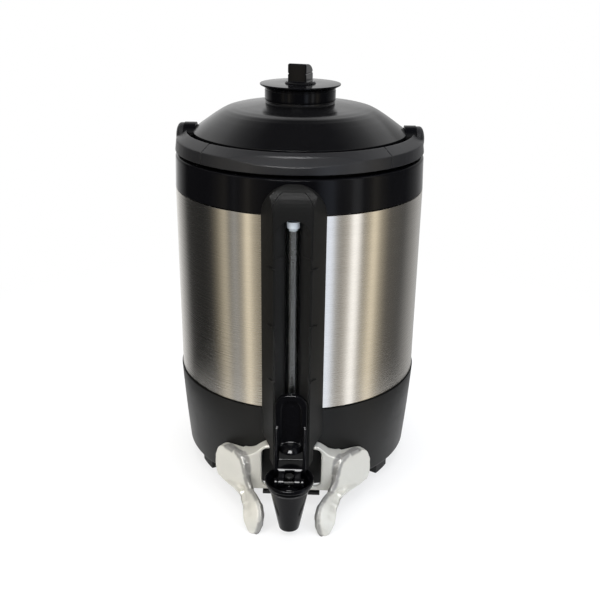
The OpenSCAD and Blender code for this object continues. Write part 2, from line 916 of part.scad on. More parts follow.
// Outer form of the housing and its cover: a column with slanted sides and a rounded top
module gauge_form() {
    root_y = shell_r * cos(asin(gauge_half_w / shell_r));
    lip_x = slot_half_w + lip_w;
    back_y = root_y - gauge_proud / 2;
    steps = 12;
    intersection() {
        translate([0, 0, gauge_bottom_z])
            linear_extrude(height = gauge_top_z - gauge_bottom_z)
                polygon([
                    [-gauge_half_w, -back_y],
                    [-gauge_half_w, -root_y - over / 2],
                    [-lip_x, -lips_y],
                    [lip_x, -lips_y],
                    [gauge_half_w, -root_y - over / 2],
                    [gauge_half_w, -back_y]
                ]);
        front_extrude(back_y, lips_y + over)
            polygon(concat(
                [
                    [-nose_slot_w + nose_chamfer, gauge_bottom_z],
                    [nose_slot_w - nose_chamfer, gauge_bottom_z],
                    [nose_slot_w, gauge_bottom_z + nose_chamfer],
                    [nose_slot_w, stand_top_z],
                    [gauge_half_w, stand_top_z + gauge_half_w - nose_slot_w]
                ],
                arc_points([0, gauge_arch_z], gauge_half_w, 0, 180, 24),
                [
                    [-gauge_half_w, stand_top_z + gauge_half_w - nose_slot_w],
                    [-nose_slot_w, stand_top_z],
                    [-nose_slot_w, gauge_bottom_z + nose_chamfer]
                ]
            ));
        side_extrude(3 * gauge_half_w)
            polygon(concat(
                [[-back_y, gauge_bottom_z], [-lips_y, gauge_bottom_z], [-lips_y, slot_top_z]],
                [for (i = [1 : steps]) [
                    -lips_y + gauge_top_depth * (1 - cos(90 * i / steps)),
                    slot_top_z + (gauge_top_z - slot_top_z) * sin(90 * i / steps)
                ]],
                [[-back_y, gauge_top_z]]
            ));
    }
}

// The trough that the sight tube stands in, with an arched top
module gauge_trough() {
    intersection() {
        linear_extrude(height = slot_top_z + over)
            polygon([
                [-slot_half_w, -lips_y - over],
                [-slot_half_w, -lips_y],
                [-tube_pocket_w, -tube_y],
                [-tube_pocket_w, -shell_r - gauge_floor_t],
                [tube_pocket_w, -shell_r - gauge_floor_t],
                [tube_pocket_w, -tube_y],
                [slot_half_w, -lips_y],
                [slot_half_w, -lips_y - over]
            ]);
        front_extrude(shell_r - over, lips_y + 2 * over)
            polygon(concat(
                [[-slot_half_w, slot_bottom_z], [slot_half_w, slot_bottom_z]],
                arc_points([0, slot_top_z - slot_half_w], slot_half_w, 0, 180, 16)
            ));
    }
}

// The part of the form that the removable cover takes, grown by a gap
module cover_region(gap) {
    front_extrude(cover_back_y - gap, lips_y + 2 * over)
        polygon(concat(
            [[-cover_half_w - gap, cover_bottom_z - gap], [cover_half_w + gap, cover_bottom_z - gap]],
            arc_points([0, cover_round_z], cover_half_w + gap, 0, 180, 16)
        ));
}

// A level rib that wraps one lip
module lip_rib() {
    lip_x = slot_half_w + lip_w;
    outer_run = gauge_half_w - lip_x;
    slope = gauge_proud / outer_run;
    linear_extrude(height = rib_h)
        polygon([
            [slot_half_w - rib_in, -lips_y + rib_in],
            [slot_half_w - rib_in - rib_proud, -lips_y + rib_in - rib_proud / 2],
            [slot_half_w - rib_proud / 2, -lips_y - rib_proud],
            [lip_x + rib_proud / 2, -lips_y - rib_proud],
            [lip_x + rib_out + rib_proud, -lips_y + rib_out * slope],
            [lip_x + rib_out, -lips_y + rib_out * slope]
        ]);
}

module gauge_housing() {
    color([0.13, 0.13, 0.13])
        difference() {
            union() {
                gauge_form();
                for (i = [0 : rib_count - 1])
                    both_sides()
                        translate([0, 0, rib_first_z - i * rib_pitch])
                            lip_rib();
            }
            vessel_form(seat_gap);
            gauge_trough();
            cover_region(seat_gap);
            along_y(shank_r + seat_gap, nut_front_y, lips_y + over, shank_z);
            along_y(flange_r + seat_gap, flange_y, flange_y + flange_t + seat_gap, shank_z);
            translate([0, -tube_y, socket_bottom_z - seat_gap])
                cylinder(r = socket_r + seat_gap, h = slot_bottom_z - socket_bottom_z + over);
            translate([-socket_r - seat_gap, -tube_y, socket_bottom_z - seat_gap])
                cube([2 * (socket_r + seat_gap), gauge_proud, slot_bottom_z - socket_bottom_z]);
        }
}

module gauge_cover() {
    color([0.1, 0.1, 0.1])
        difference() {
            intersection() {
                gauge_form();
                cover_region(0);
            }
            gauge_trough();
        }
}

module gauge_tube() {
    color([0.8, 0.85, 0.88, 0.4])
        translate([0, -tube_y, tube_bottom_z])
            difference() {
                cylinder(r = tube_r, h = tube_top_z - tube_bottom_z);
                translate([0, 0, -over])
                    cylinder(r = tube_r - tube_wall, h = tube_top_z - tube_bottom_z + 2 * over);
            }
}

module gauge_cap() {
    bore_r = tube_r - tube_wall - run_gap;
    color([0.8, 0.87, 0.9])
        translate([0, -tube_y, tube_top_z]) {
            translate([0, 0, run_gap])
                cylinder(r = tube_r + gauge_cap_lip, h = gauge_cap_h);
            translate([0, 0, -gauge_cap_sink])
                cylinder(r = bore_r, h = gauge_cap_sink + 2 * run_gap);
        }
}

module gauge_seal() {
    color([0.05, 0.05, 0.05])
        translate([0, -tube_y, tube_bottom_z])
            difference() {
                cylinder(r = seal_r, h = socket_top_z - tube_bottom_z);
                translate([0, 0, -over])
                    cylinder(r = tube_r + run_gap, h = socket_top_z - tube_bottom_z + 2 * over);
            }
}

module gauge_socket() {
    color([0.08, 0.08, 0.08])
        difference() {
            union() {
                difference() {
                    translate([0, -tube_y, socket_bottom_z])
                        cylinder(r = socket_r, h = socket_top_z - socket_bottom_z);
                    vessel_form(seat_gap);
                }
                along_y(spigot_r, spigot_end_y, tube_y, socket_spigot_z);
            }
            translate([0, -tube_y, tube_bottom_z - run_gap])
                cylinder(r = seal_r + run_gap, h = socket_top_z);
            translate([0, -tube_y, socket_spigot_z])
                cylinder(r = spigot_bore_r, h = socket_top_z);
            along_y(spigot_bore_r, spigot_end_y - over, tube_y, socket_spigot_z);
        }
}

// Outlet

// The run of the outlet pipe at a given radius: down, round a bend, then forward
module pipe_run(r, extra) {
    bend_y = pipe_y + pipe_bend_r;
    translate([0, -pipe_y, shank_z + pipe_bend_r])
        cylinder(r = r, h = liner_floor_z - shank_z - pipe_bend_r + extra);
    translate([0, -bend_y, shank_z + pipe_bend_r])
        rotate([-90, 0, 90])
            rotate_extrude(angle = 90)
                translate([pipe_bend_r, 0])
                    circle(r = r);
    along_y(r, bend_y, pipe_end_y + extra, shank_z);
}

module outlet_pipe() {
    color("gainsboro")
        difference() {
            union() {
                pipe_run(pipe_r, 0);
                along_y(pipe_flange_r, pipe_end_y - pipe_flange_t, pipe_end_y, shank_z);
                along_y(branch_r, pipe_y, spigot_end_y - run_gap, socket_spigot_z);
            }
            pipe_run(pipe_r - pipe_wall, over);
            along_y(branch_r - pipe_wall, pipe_y, spigot_end_y + over, socket_spigot_z);
        }
}

module outlet_seal() {
    color([0.05, 0.05, 0.05])
        difference() {
            along_y(pipe_flange_r, pipe_end_y + run_gap, shank_end_y - run_gap, shank_z);
            along_y(pipe_r - pipe_wall, pipe_end_y - over, shank_end_y + over, shank_z);
        }
}

// Faucet

module valve_body() {
    color([0.05, 0.05, 0.05])
        difference() {
            union() {
                along_y(shank_r, shank_end_y, spout_y, shank_z);
                along_y(flange_r, flange_y, flange_y + flange_t, shank_z);
                translate([0, -spout_y, chamber_bottom_z])
                    cylinder(r = chamber_r, h = chamber_top_z - chamber_bottom_z);
            }
            along_y(shank_bore_r, shank_end_y - over, spout_y, shank_z);
            translate([0, -spout_y, chamber_bottom_z + seat_t])
                cylinder(r = chamber_bore_r, h = rim_z);
            translate([0, -spout_y, chamber_bottom_z - over])
                cylinder(r = seat_hole_r, h = seat_t + 2 * over);
            translate([0, -spout_y, chamber_top_z])
                cylinder(r = bonnet_r + seat_gap, h = rim_z);
        }
}

module shank_nut() {
    color([0.15, 0.15, 0.15])
        difference() {
            translate([0, -nut_front_y + nut_h, shank_z])
                rotate([90, 0, 0])
                    cylinder(d = nut_af / cos(30), h = nut_h, $fn = 6);
            along_y(shank_r + run_gap, nut_front_y - nut_h - over, nut_front_y + over, shank_z);
        }
}

module bonnet() {
    base_cut = chamber_top_z + run_gap;
    color([0.05, 0.05, 0.05])
        difference() {
            union() {
                translate([0, -spout_y, base_cut])
                    cylinder(r = bonnet_r, h = bonnet_top - base_cut);
                translate([0, -spout_y, bonnet_top - run_gap])
                    cylinder(r = guide_r - run_gap, h = guide_h);
                both_sides()
                    bonnet_ear();
            }
            translate([0, -spout_y, chamber_top_z])
                cylinder(r = stem_r + run_gap, h = rim_z);
            along_x(pin_r + run_gap, -rim_r, rim_r, -pin_y, pin_z);
        }
}

// One ear that carries an end of the lever's pin
module bonnet_ear() {
    along_x(ear_r, ear_in_x, ear_in_x + ear_t, -pin_y, pin_z);
    translate([ear_in_x, -pin_y - ear_r, bonnet_top - bonnet_t + run_gap])
        cube([ear_t, 2 * ear_r, pin_z - bonnet_top + bonnet_t - run_gap]);
}

module spout() {
    outside = [
        [tip_r, tip_z],
        [cone_r, cone_z],
        [neck_band_r, neck_band_z],
        [neck_band_r, rim_z - rim_band_h - over / 2],
        [rim_r, rim_z - rim_band_h],
        [rim_r, rim_z]
    ];
    inside = [for (p = backwards(outside)) [p[0] - spout_wall, p[1]]];
    rib_r = tip_r + (cone_r - tip_r) * (spout_rib_z - tip_z) / (cone_z - tip_z) - spout_wall / 2;
    color([0.08, 0.08, 0.08])
        difference() {
            translate([0, -spout_y, 0]) {
                rotate_extrude()
                    polygon(concat(outside, inside));
                translate([0, 0, spout_rib_z])
                    difference() {
                        cylinder(r = rib_r, h = spout_rib_h);
                        translate([0, 0, -over])
                            cylinder(r = chamber_r + run_gap, h = spout_rib_h + 2 * over);
                    }
            }
            along_y(shank_r + seat_gap, stand_front_y, spout_y, shank_z);
            translate([-shank_r - seat_gap, -spout_y, shank_z])
                cube([2 * (shank_r + seat_gap), spout_y, rim_z]);
        }
}

module lever_pin() {
    color("silver")
        along_x(pin_r, -ear_in_x - ear_t, ear_in_x + ear_t, -pin_y, pin_z);
}

// Front outline of the paddle, with rounded top corners
module paddle_outline() {
    corner_x = lever_w / 2 - lever_corner_r;
    corner_z = lever_top_z - lever_corner_r;
    polygon(concat(
        [[-lever_w / 2, foot_plate_z], [lever_w / 2, foot_plate_z]],
        arc_points([corner_x, corner_z], lever_corner_r, 0, 90, 8),
        arc_points([-corner_x, corner_z], lever_corner_r, 90, 180, 8)
    ));
}

// Front outline of the panel that is sunk into the paddle
module lever_panel() {
    half = panel_w / 2;
    top = lever_top_z - panel_top_drop - half;
    polygon(concat(
        [[-half, panel_low_z], [half, panel_low_z]],
        arc_points([0, top], half, 0, 180, 10)
    ));
}

// One side cheek of the lever, which widens forward to the lip
module cheek_outline() {
    polygon([
        [-lever_back_y, foot_plate_z],
        [-lever_back_y, panel_low_z + cheek_h],
        [-lever_front_y - panel_depth / 2, panel_low_z + cheek_h],
        [-lip_y - lip_r, foot_plate_z + 2 * lip_r],
        [-lip_y - lip_r, foot_plate_z]
    ]);
}

// One fork plate of the lever, which runs from the lip down to the pin
module fork_outline() {
    knee = fork_boss_r * sin(45);
    polygon([
        [-lip_y + cheek_h / 2, foot_plate_z + foot_plate_t / 2],
        [-lip_y - lip_r, foot_plate_z + foot_plate_t],
        [-pin_y - knee, pin_z + knee],
        [-pin_y, pin_z - fork_boss_r],
        [-pin_y + knee, pin_z - knee],
        [-lip_y - lip_r, foot_plate_z - fork_boss_r / 2],
        [-lip_y + cheek_h / 2, foot_plate_z]
    ]);
}

// The domed ledge below the panel, as one half of a flattened ball
module dome_ledge() {
    steps = 8;
    translate([0, -lever_front_y + panel_depth, dome_ledge_z])
        rotate_extrude()
            polygon(concat(
                [[0, 0]],
                [for (i = [0 : steps]) [
                    dome_ledge_r * cos(i * 90 / steps),
                    dome_ledge_h * sin(i * 90 / steps)
                ]]
            ));
}

module faucet_lever() {
    fork_t = fork_out_x - fork_in_x;
    pocket_half = lever_w / 2 - cheek_t;
    pocket_z = foot_plate_z + foot_plate_t;
    color([0.04, 0.04, 0.045])
        difference() {
            union() {
                difference() {
                    union() {
                        front_extrude(lever_back_y, lever_front_y)
                            paddle_outline();
                        both_sides()
                            translate([pocket_half + cheek_t / 2, 0, 0])
                                side_extrude(cheek_t)
                                    cheek_outline();
                        translate([-lever_w / 2, -lip_y, foot_plate_z])
                            cube([lever_w, lip_y - lever_back_y, foot_plate_t]);
                        along_x(lip_r, -lever_w / 2, lever_w / 2, -lip_y, foot_plate_z + lip_r);
                    }
                    front_extrude(lever_front_y - panel_depth, lever_front_y + over)
                        lever_panel();
                    translate([-pocket_half, -lip_y + lip_r + over, pocket_z])
                        cube([2 * pocket_half, lip_y - lip_r - over - lever_front_y + pocket_depth,
                            dome_ledge_z - pocket_z]);
                }
                intersection() {
                    dome_ledge();
                    translate([-pocket_half - over / 2, -lip_y, dome_ledge_z])
                        cube([2 * pocket_half + over, lip_y - lever_back_y - over, dome_ledge_h]);
                }
                both_sides()
                    translate([(fork_in_x + fork_out_x) / 2, 0, 0])
                        side_extrude(fork_t)
                            fork_outline();
                both_sides()
                    along_x(fork_boss_r, fork_in_x, fork_out_x, -pin_y, pin_z);
                both_sides()
                    along_x(finger_r, finger_end_x, fork_in_x + over, -spout_y,
                        stem_head_z - body_gap - finger_r);
            }
            along_x(pin_r + run_gap, -rim_r, rim_r, -pin_y, pin_z);
        }
}

module valve_stem() {
    low_z = chamber_bottom_z + seat_t + cup_lip_h + run_gap;
    color([0.75, 0.75, 0.75])
        translate([0, -spout_y, 0]) {
            translate([0, 0, low_z])
                cylinder(r = stem_r, h = stem_head_z - low_z);
            translate([0, 0, stem_head_z - run_gap])
                cylinder(r = stem_head_r, h = stem_head_t);
            translate([0, 0, low_z + cup_h / 2 - run_gap])
                cylinder(r = stem_collar_r, h = stem_head_t);
        }
}

module seat_cup() {
    low_z = chamber_bottom_z + seat_t + body_gap;
    color([0.85, 0.85, 0.82])
        translate([0, -spout_y, low_z])
            difference() {
                rotate_extrude()
                    polygon([
                        [0, cup_lip_h - cup_wall],
                        [cup_r - cup_wall, 0],
                        [cup_r, 0],
                        [cup_r, cup_lip_h],
                        [cup_hold_r, cup_lip_h + cup_wall],
                        [cup_hold_r, cup_h],
                        [0, cup_h]
                    ]);
                translate([0, 0, cup_lip_h - body_gap])
                    cylinder(r = stem_r + run_gap, h = cup_h);
                translate([0, 0, cup_lip_h + cup_h / 2 - body_gap - run_gap])
                    cylinder(r = stem_collar_r + run_gap, h = stem_head_t + run_gap);
            }
}

module valve_spring() {
    low_z = chamber_bottom_z + seat_t + body_gap + cup_lip_h + cup_wall + spring_wire_r + run_gap;
    high_z = chamber_top_z - spring_wire_r;
    sides = 6;
    steps = 10;
    total = spring_turns * steps;
    rings = [for (j = [0 : total])
        let (a = 360 * j / steps, z = low_z + (high_z - low_z) * j / total)
        [for (k = [0 : sides - 1])
            let (b = 360 * k / sides, r = spring_r + spring_wire_r * cos(b))
            [r * cos(a), r * sin(a), z + spring_wire_r * sin(b)]]];
    color("silver")
        translate([0, -spout_y, 0])
            loft([for (j = [0 : total]) backwards(rings[j])]);
}

// Handle

// Cross-section of the bail: an upright outer face and a top that rises inward
module bail_section() {
    polygon([
        [bail_in_r, bail_z],
        [bail_out_r, bail_z],
        [bail_out_r - bail_top_lean + over, bail_z + bail_edge_h],
        [bail_in_r, bail_z + bail_h]
    ]);
}

module core_section(gap) {
    translate([bail_in_r + core_lift - gap, bail_z + core_lift - gap])
        square([core_w + 2 * gap, core_h + 2 * gap]);
}

// A ring section turned about the axis over an angle, centred on the front
module front_sweep(half_angle) {
    rotate([0, 0, -90 - half_angle])
        rotate_extrude(angle = 2 * half_angle)
            children();
}

module handle_pins() {
    color("silver")
        both_sides() {
            along_x(pivot_pin_d / 2, post_in_x + pin_head_h - run_gap, pin_end_x, 0, pivot_z);
            along_x(pin_head_r, post_in_x + run_gap, post_in_x + pin_head_h - run_gap, 0, pivot_z);
        }
}

module handle_bow() {
    color([0.1, 0.1, 0.1])
        difference() {
            union() {
                difference() {
                    front_sweep(90)
                        bail_section();
                    front_sweep(grip_angle)
                        translate([bail_in_r - over, bail_z - over])
                            square([bail_w + 2 * over, bail_h + 2 * over]);
                    both_sides()
                        along_x(post_relief_r, 0, eye_in_x, 0, pivot_z);
                }
                front_sweep(grip_angle + over / 2)
                    core_section(0);
                both_sides()
                    handle_eye();
            }
            both_sides()
                along_x(pivot_pin_d / 2 + run_gap, eye_in_x - over, pin_end_x + seat_gap, 0, pivot_z);
            for (side = [-1, 1])
                rotate([0, 0, side * grip_screw_angle])
                    translate([0, -bail_in_r - core_lift - core_w / 2, bail_z])
                        cylinder(d = screw_d - 2 * run_gap, h = core_lift + core_h * 2 / 3);
        }
}

// The round eye at one end of the bail, with a domed outer face
module handle_eye() {
    steps = 8;
    translate([eye_in_x, 0, pivot_z])
        rotate([0, 90, 0])
            rotate_extrude()
                polygon(concat(
                    [[0, 0], [eye_r, 0]],
                    [for (i = [0 : steps - 1]) [
                        eye_r * cos(i * 90 / steps),
                        bail_out_r - eye_in_x - eye_dome * (1 - sin(i * 90 / steps))
                    ]],
                    [[0, bail_out_r - eye_in_x]]
                ));
}

module handle_grip() {
    seam = asin(grip_seam / bail_out_r);
    color([0.13, 0.13, 0.13])
        difference() {
            front_sweep(grip_angle - seam)
                bail_section();
            front_sweep(grip_angle + over)
                core_section(run_gap);
            thumb_cut();
            for (side = [-1, 1])
                rotate([0, 0, side * grip_screw_angle])
                    translate([0, -bail_in_r - core_lift - core_w / 2, bail_z - over]) {
                        cylinder(d = screw_d + 2 * run_gap, h = core_lift + 2 * over);
                        cylinder(d = screw_head_d + 2 * run_gap, h = over + screw_head_h);
                    }
        }
}

// The slanted thumb rest on the grip's front edge: a cone wider than the bail cuts it
module thumb_cut() {
    low_r = bail_out_r + thumb_r_extra - thumb_in;
    high_r = low_r - thumb_deep * (thumb_high - thumb_low) / (bail_h / 2);
    translate([0, thumb_r_extra, 0])
        rotate_extrude()
            polygon([
                [low_r, bail_z + thumb_low],
                [low_r + bail_w, bail_z + thumb_low],
                [low_r + bail_w, bail_z + bail_h + over],
                [high_r, bail_z + thumb_high]
            ]);
}

module grip_screws() {
    color("silver")
        for (side = [-1, 1])
            rotate([0, 0, side * grip_screw_angle])
                translate([0, -bail_in_r - core_lift - core_w / 2, bail_z]) {
                    cylinder(d = screw_head_d, h = screw_head_h);
                    cylinder(d = screw_d - 2 * run_gap, h = core_lift + core_h / 2);
                }
}

// Lid

// Profile of the dome from the neck down to the brim, moved inward by a wall
function dome_curve(wall) =
    let (r = smooth(dome_r_shares, 3), h = smooth(dome_h_shares, 3))
    [for (i = [len(r) - 1 : -1 : 0]) [r[i] * (lid_r - wall), brim_z + h[i] * dome_h - wall]];

// Room for the pivot posts on both sides of the lid, grown inward by a wall
module post_notches(wall) {
    both_sides()
        translate([post_in_x - body_gap - wall, -notch_half_w - wall, lid_seat_z - over])
            cube([shell_r, 2 * (notch_half_w + wall), plateau_z]);
}

module lid_dome() {
    color([0.07, 0.07, 0.07])
        difference() {
            rotate_extrude()
                polygon(concat(
                    [[0, lid_seat_z], [0, neck_top], [neck_r, neck_top], [neck_r, plateau_z]],
                    dome_curve(0),
                    [
                        [lid_r, brim_z - brim_edge_h],
                        [skirt_r, brim_z - brim_edge_h - over / 2],
                        [skirt_r, lid_seat_z]
                    ]
                ));
            post_notches(0);
            difference() {
                rotate_extrude()
                    polygon(concat(
                        [[0, lid_seat_z - over], [0, plateau_z - lid_wall]],
                        dome_curve(lid_wall),
                        [
                            [skirt_r - lid_wall, brim_z - brim_edge_h - lid_wall],
                            [skirt_r - lid_wall, lid_seat_z - over]
                        ]
                    ));
                post_notches(lid_wall);
            }
            translate([0, 0, lid_seat_z])
                cylinder(r = neck_bore_r, h = plateau_z);
        }
}

module lid_base() {
    tube_out_r = neck_bore_r + lid_tube_wall;
    plate_r = skirt_r - lid_wall - seat_gap;
    color([0.1, 0.1, 0.1])
        difference() {
            rotate_extrude()
                polygon([
                    [neck_bore_r, lid_seat_z - plug_depth / 2],
                    [tube_out_r, lid_seat_z - plug_depth / 2],
                    [tube_out_r, lid_seat_z],
                    [plug_r - plug_wall, lid_seat_z],
                    [plug_r - plug_wall, lid_seat_z - plug_depth],
                    [plug_r, lid_seat_z - plug_depth],
                    [plug_r, lid_seat_z - plug_depth + gasket_h / 2],
                    [plug_r - gasket_w + over, lid_seat_z - plug_depth + gasket_h / 2],
                    [plug_r - gasket_w + over, lid_seat_z - plug_depth + gasket_h * 3 / 2],
                    [plug_r, lid_seat_z - plug_depth + gasket_h * 3 / 2],
                    [plug_r, lid_seat_z],
                    [plate_r, lid_seat_z + seat_gap],
                    [plate_r, lid_seat_z + lid_base_t],
                    [tube_out_r, lid_seat_z + lid_base_t],
                    [tube_out_r, plateau_z - lid_wall - seat_gap],
                    [neck_bore_r, plateau_z - lid_wall - seat_gap]
                ]);
            post_notches(lid_wall + seat_gap);
        }
}

module lid_gasket() {
    low_z = lid_seat_z - plug_depth + gasket_h / 2 + run_gap;
    color([0.05, 0.05, 0.05])
        translate([0, 0, low_z])
            difference() {
                cylinder(r = gasket_r, h = gasket_h - 2 * run_gap);
                translate([0, 0, -over])
                    cylinder(r = plug_r - gasket_w + over + run_gap, h = gasket_h + 2 * over);
            }
}

// Cap

module fill_cap() {
    skirt_top = cap_top - cap_flange_t;
    groove_z = skirt_top - 3 * cap_groove_w;
    color([0.05, 0.05, 0.055])
        difference() {
            rotate_extrude()
                polygon([
                    [knob_stem_r + run_gap, cap_floor_z],
                    [cap_plug_r, cap_floor_z],
                    [cap_plug_r, cap_floor_z + cap_ring_h],
                    [cap_plug_r - cap_ring_w / 2, cap_floor_z + cap_ring_h],
                    [cap_plug_r - cap_ring_w / 2, cap_floor_z + 2 * cap_ring_h],
                    [cap_plug_r, cap_floor_z + 2 * cap_ring_h],
                    [cap_plug_r, neck_top + body_gap],
                    [cap_skirt_r, neck_top + body_gap],
                    [cap_skirt_r, groove_z],
                    [cap_skirt_r - cap_groove_d, groove_z],
                    [cap_skirt_r - cap_groove_d, groove_z + cap_groove_w],
                    [cap_skirt_r, groove_z + cap_groove_w],
                    [cap_skirt_r, skirt_top - cap_groove_w],
                    [cap_flange_r, cap_top - cap_flange_t / 2],
                    [cap_flange_r, cap_top],
                    [knob_stem_r + run_gap, cap_top],
                    [knob_stem_r + run_gap, skirt_top],
                    [cap_plug_r - cap_plug_wall, skirt_top],
                    [cap_plug_r - cap_plug_wall, cap_floor_z + cap_floor_t],
                    [knob_stem_r + run_gap, cap_floor_z + cap_floor_t]
                ]);
            vent_holes(0);
        }
}

// Two round vent holes through the cap's floor or the shutter
module vent_holes(turn) {
    for (side = [0, 180])
        rotate([0, 0, turn + side])
            translate([vent_place_r, 0, shutter_z - over])
                cylinder(r = vent_r, h = cap_floor_z - shutter_z + cap_floor_t + 2 * over);
}

module cap_ring() {
    color([0.05, 0.05, 0.05])
        translate([0, 0, cap_floor_z + cap_ring_h + run_gap])
            difference() {
                cylinder(r = neck_bore_r - body_gap, h = cap_ring_h - 2 * run_gap);
                translate([0, 0, -over])
                    cylinder(r = cap_plug_r - cap_ring_w / 2 + run_gap, h = cap_ring_h + 2 * over);
            }
}

module cap_knob() {
    base_z0 = cap_top + run_gap;
    grip_z = base_z0 + knob_base_h;
    grip_h = knob_h - knob_base_h;
    waist_z = grip_z + grip_h * knob_waist_share;
    color([0.06, 0.06, 0.065]) {
        translate([0, 0, base_z0])
            cylinder(r1 = knob_base_r, r2 = knob_base_r - knob_base_h / 2, h = knob_base_h);
        translate([0, 0, shutter_z + run_gap])
            cylinder(r = knob_stem_r, h = base_z0 - shutter_z);
        rotate([0, 0, -knob_turn])
            intersection() {
                side_extrude(knob_w)
                    knob_back(grip_z - run_gap, grip_z + grip_h);
                translate([0, 0, -run_gap])
                    front_extrude(-knob_d / 2, knob_d / 2)
                        knob_front(grip_z, waist_z, grip_z + grip_h + run_gap);
            }
    }
}

// Side outline of the knob's grip: upright in front, with its top falling to the back
module knob_back(low, high) {
    half = knob_d / 2;
    steps = 10;
    polygon(concat(
        [[-half, low], [-half, high - knob_bevel]],
        [for (i = [0 : steps]) [
            -half + knob_bevel + (knob_d - knob_bevel) * sin(90 * i / steps),
            high - knob_back_fall * (1 - cos(90 * i / steps))
        ]],
        [[half, low]]
    ));
}

// Front outline of the knob's grip, with its waist and its bevelled top
module knob_front(low, waist, high) {
    half = knob_w / 2;
    right = [
        [half, low],
        [half, waist],
        [half - knob_waist_d, waist + knob_waist_h / 2],
        [half, waist + knob_waist_h],
        [half, high - knob_bevel],
        [half - knob_bevel, high]
    ];
    polygon(concat(right, [for (p = backwards(right)) [-p[0], p[1]]]));
}

module vent_shutter() {
    color([0.15, 0.15, 0.15])
        difference() {
            translate([0, 0, shutter_z])
                cylinder(r = shutter_r, h = shutter_t);
            translate([0, 0, shutter_z + run_gap])
                cylinder(r = knob_stem_r + run_gap, h = shutter_t + over);
            translate([0, 0, shutter_z - over])
                cylinder(d = screw_d, h = shutter_t);
            vent_holes(90);
        }
}

module shutter_screw() {
    color("silver")
        translate([0, 0, shutter_z - screw_head_h - run_gap]) {
            cylinder(d = screw_head_d, h = screw_head_h);
            cylinder(d = screw_d - 2 * run_gap, h = screw_head_h + 2 * run_gap);
        }
}

outer_shell();
inner_liner();
jacket_bottom();
top_collar();
base_shell();
base_floor();
floor_screws();
feet();
front_stand();
stand_screws();
stand_clip();
gauge_housing();
gauge_cover();
gauge_tube();
gauge_cap();
gauge_seal();
gauge_socket();
outlet_pipe();
outlet_seal();
valve_body();
shank_nut();
bonnet();
spout();
lever_pin();
faucet_lever();
valve_stem();
seat_cup();
valve_spring();
handle_pins();
handle_bow();
handle_grip();
grip_screws();
lid_dome();
lid_base();
lid_gasket();
fill_cap();
cap_ring();
cap_knob();
vent_shutter();
shutter_screw();
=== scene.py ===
import json
import logging
import math
from dataclasses import dataclass, field
from enum import Enum
from typing import Callable, Iterable, Sequence

import bmesh
import bpy
from mathutils import Matrix, Vector
from mathutils.kdtree import KDTree


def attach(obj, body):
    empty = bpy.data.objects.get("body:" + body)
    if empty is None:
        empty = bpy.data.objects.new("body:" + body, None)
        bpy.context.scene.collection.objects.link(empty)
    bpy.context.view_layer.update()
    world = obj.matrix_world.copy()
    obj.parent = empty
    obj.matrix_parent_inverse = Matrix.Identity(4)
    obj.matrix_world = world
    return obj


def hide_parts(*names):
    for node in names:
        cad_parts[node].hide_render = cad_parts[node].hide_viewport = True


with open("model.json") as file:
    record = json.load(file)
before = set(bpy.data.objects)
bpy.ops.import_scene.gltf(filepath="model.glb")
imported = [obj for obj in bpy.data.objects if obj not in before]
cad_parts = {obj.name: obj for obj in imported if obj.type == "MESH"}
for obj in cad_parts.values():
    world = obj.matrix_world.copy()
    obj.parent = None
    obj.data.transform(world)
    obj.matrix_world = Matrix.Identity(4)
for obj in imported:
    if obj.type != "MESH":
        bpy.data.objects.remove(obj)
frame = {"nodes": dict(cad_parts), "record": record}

LOG = logging.getLogger("drink_server")
MM = 0.001
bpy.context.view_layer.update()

Colour = tuple[float, float, float]
Point = tuple[float, float, float]
Shell = tuple[list[Point], list[tuple[int, ...]]]
Table = tuple[tuple[float, ...], ...]
Value = float | bpy.types.NodeSocket
WHITE = (1.0, 1.0, 1.0)


class Skin(Enum):
    """How the surface of a moulded piece is textured by its mould."""

    POLISHED = "polished"
    SATIN = "satin"
    GRAINED = "grained"


class Sheen(Enum):
    """How a metal surface is finished."""

    BRUSHED = "brushed"
    DRAWN = "drawn"
    CAST = "cast"
    PLATED = "plated"


class Nodes:
    """Adds and joins the nodes of one tree."""

    def __init__(self, tree: bpy.types.NodeTree) -> None:
        """Keeps the tree.

        Args:
            tree: The shader or geometry tree to work on.
        """
        self.tree = tree

    def add(self, kind: str, inputs: dict | None = None, **settings: object) -> bpy.types.Node:
        """Adds one node.

        Args:
            kind: The node's type name.
            inputs: Values or output sockets for its inputs, by name or index.
            settings: Attributes of the node itself.

        Returns:
            The new node.
        """
        node = self.tree.nodes.new(kind)
        for name, value in settings.items():
            setattr(node, name, value)
        for key, value in (inputs or {}).items():
            if isinstance(value, bpy.types.NodeSocket):
                self.tree.links.new(value, node.inputs[key])
            else:
                node.inputs[key].default_value = value
        return node

    def math(self, operation: str, first: Value, second: Value = 0.0) -> bpy.types.NodeSocket:
        """Adds a math node.

        Args:
            operation: Its operation.
            first: A number or an output socket.
            second: A number or an output socket.

        Returns:
            The result's socket.
        """
        return self.add("ShaderNodeMath", {0: first, 1: second}, operation=operation).outputs[0]

    def scaled(self, value: Value, factor: float, base: float) -> bpy.types.NodeSocket:
        """Multiplies a value and adds a base to it.

        Args:
            value: A number or an output socket.
            factor: What it is multiplied by.
            base: What is added then.

        Returns:
            The result's socket.
        """
        result = self.math("MULTIPLY_ADD", value, factor)
        result.node.inputs[2].default_value = base
        return result

    def link(self, source: bpy.types.NodeSocket, target: bpy.types.NodeSocket) -> None:
        """Joins an output to an input."""
        self.tree.links.new(source, target)

    def find(self, kind: str) -> bpy.types.Node:
        """Finds the tree's node of one type."""
        return next(node for node in self.tree.nodes if node.type == kind)


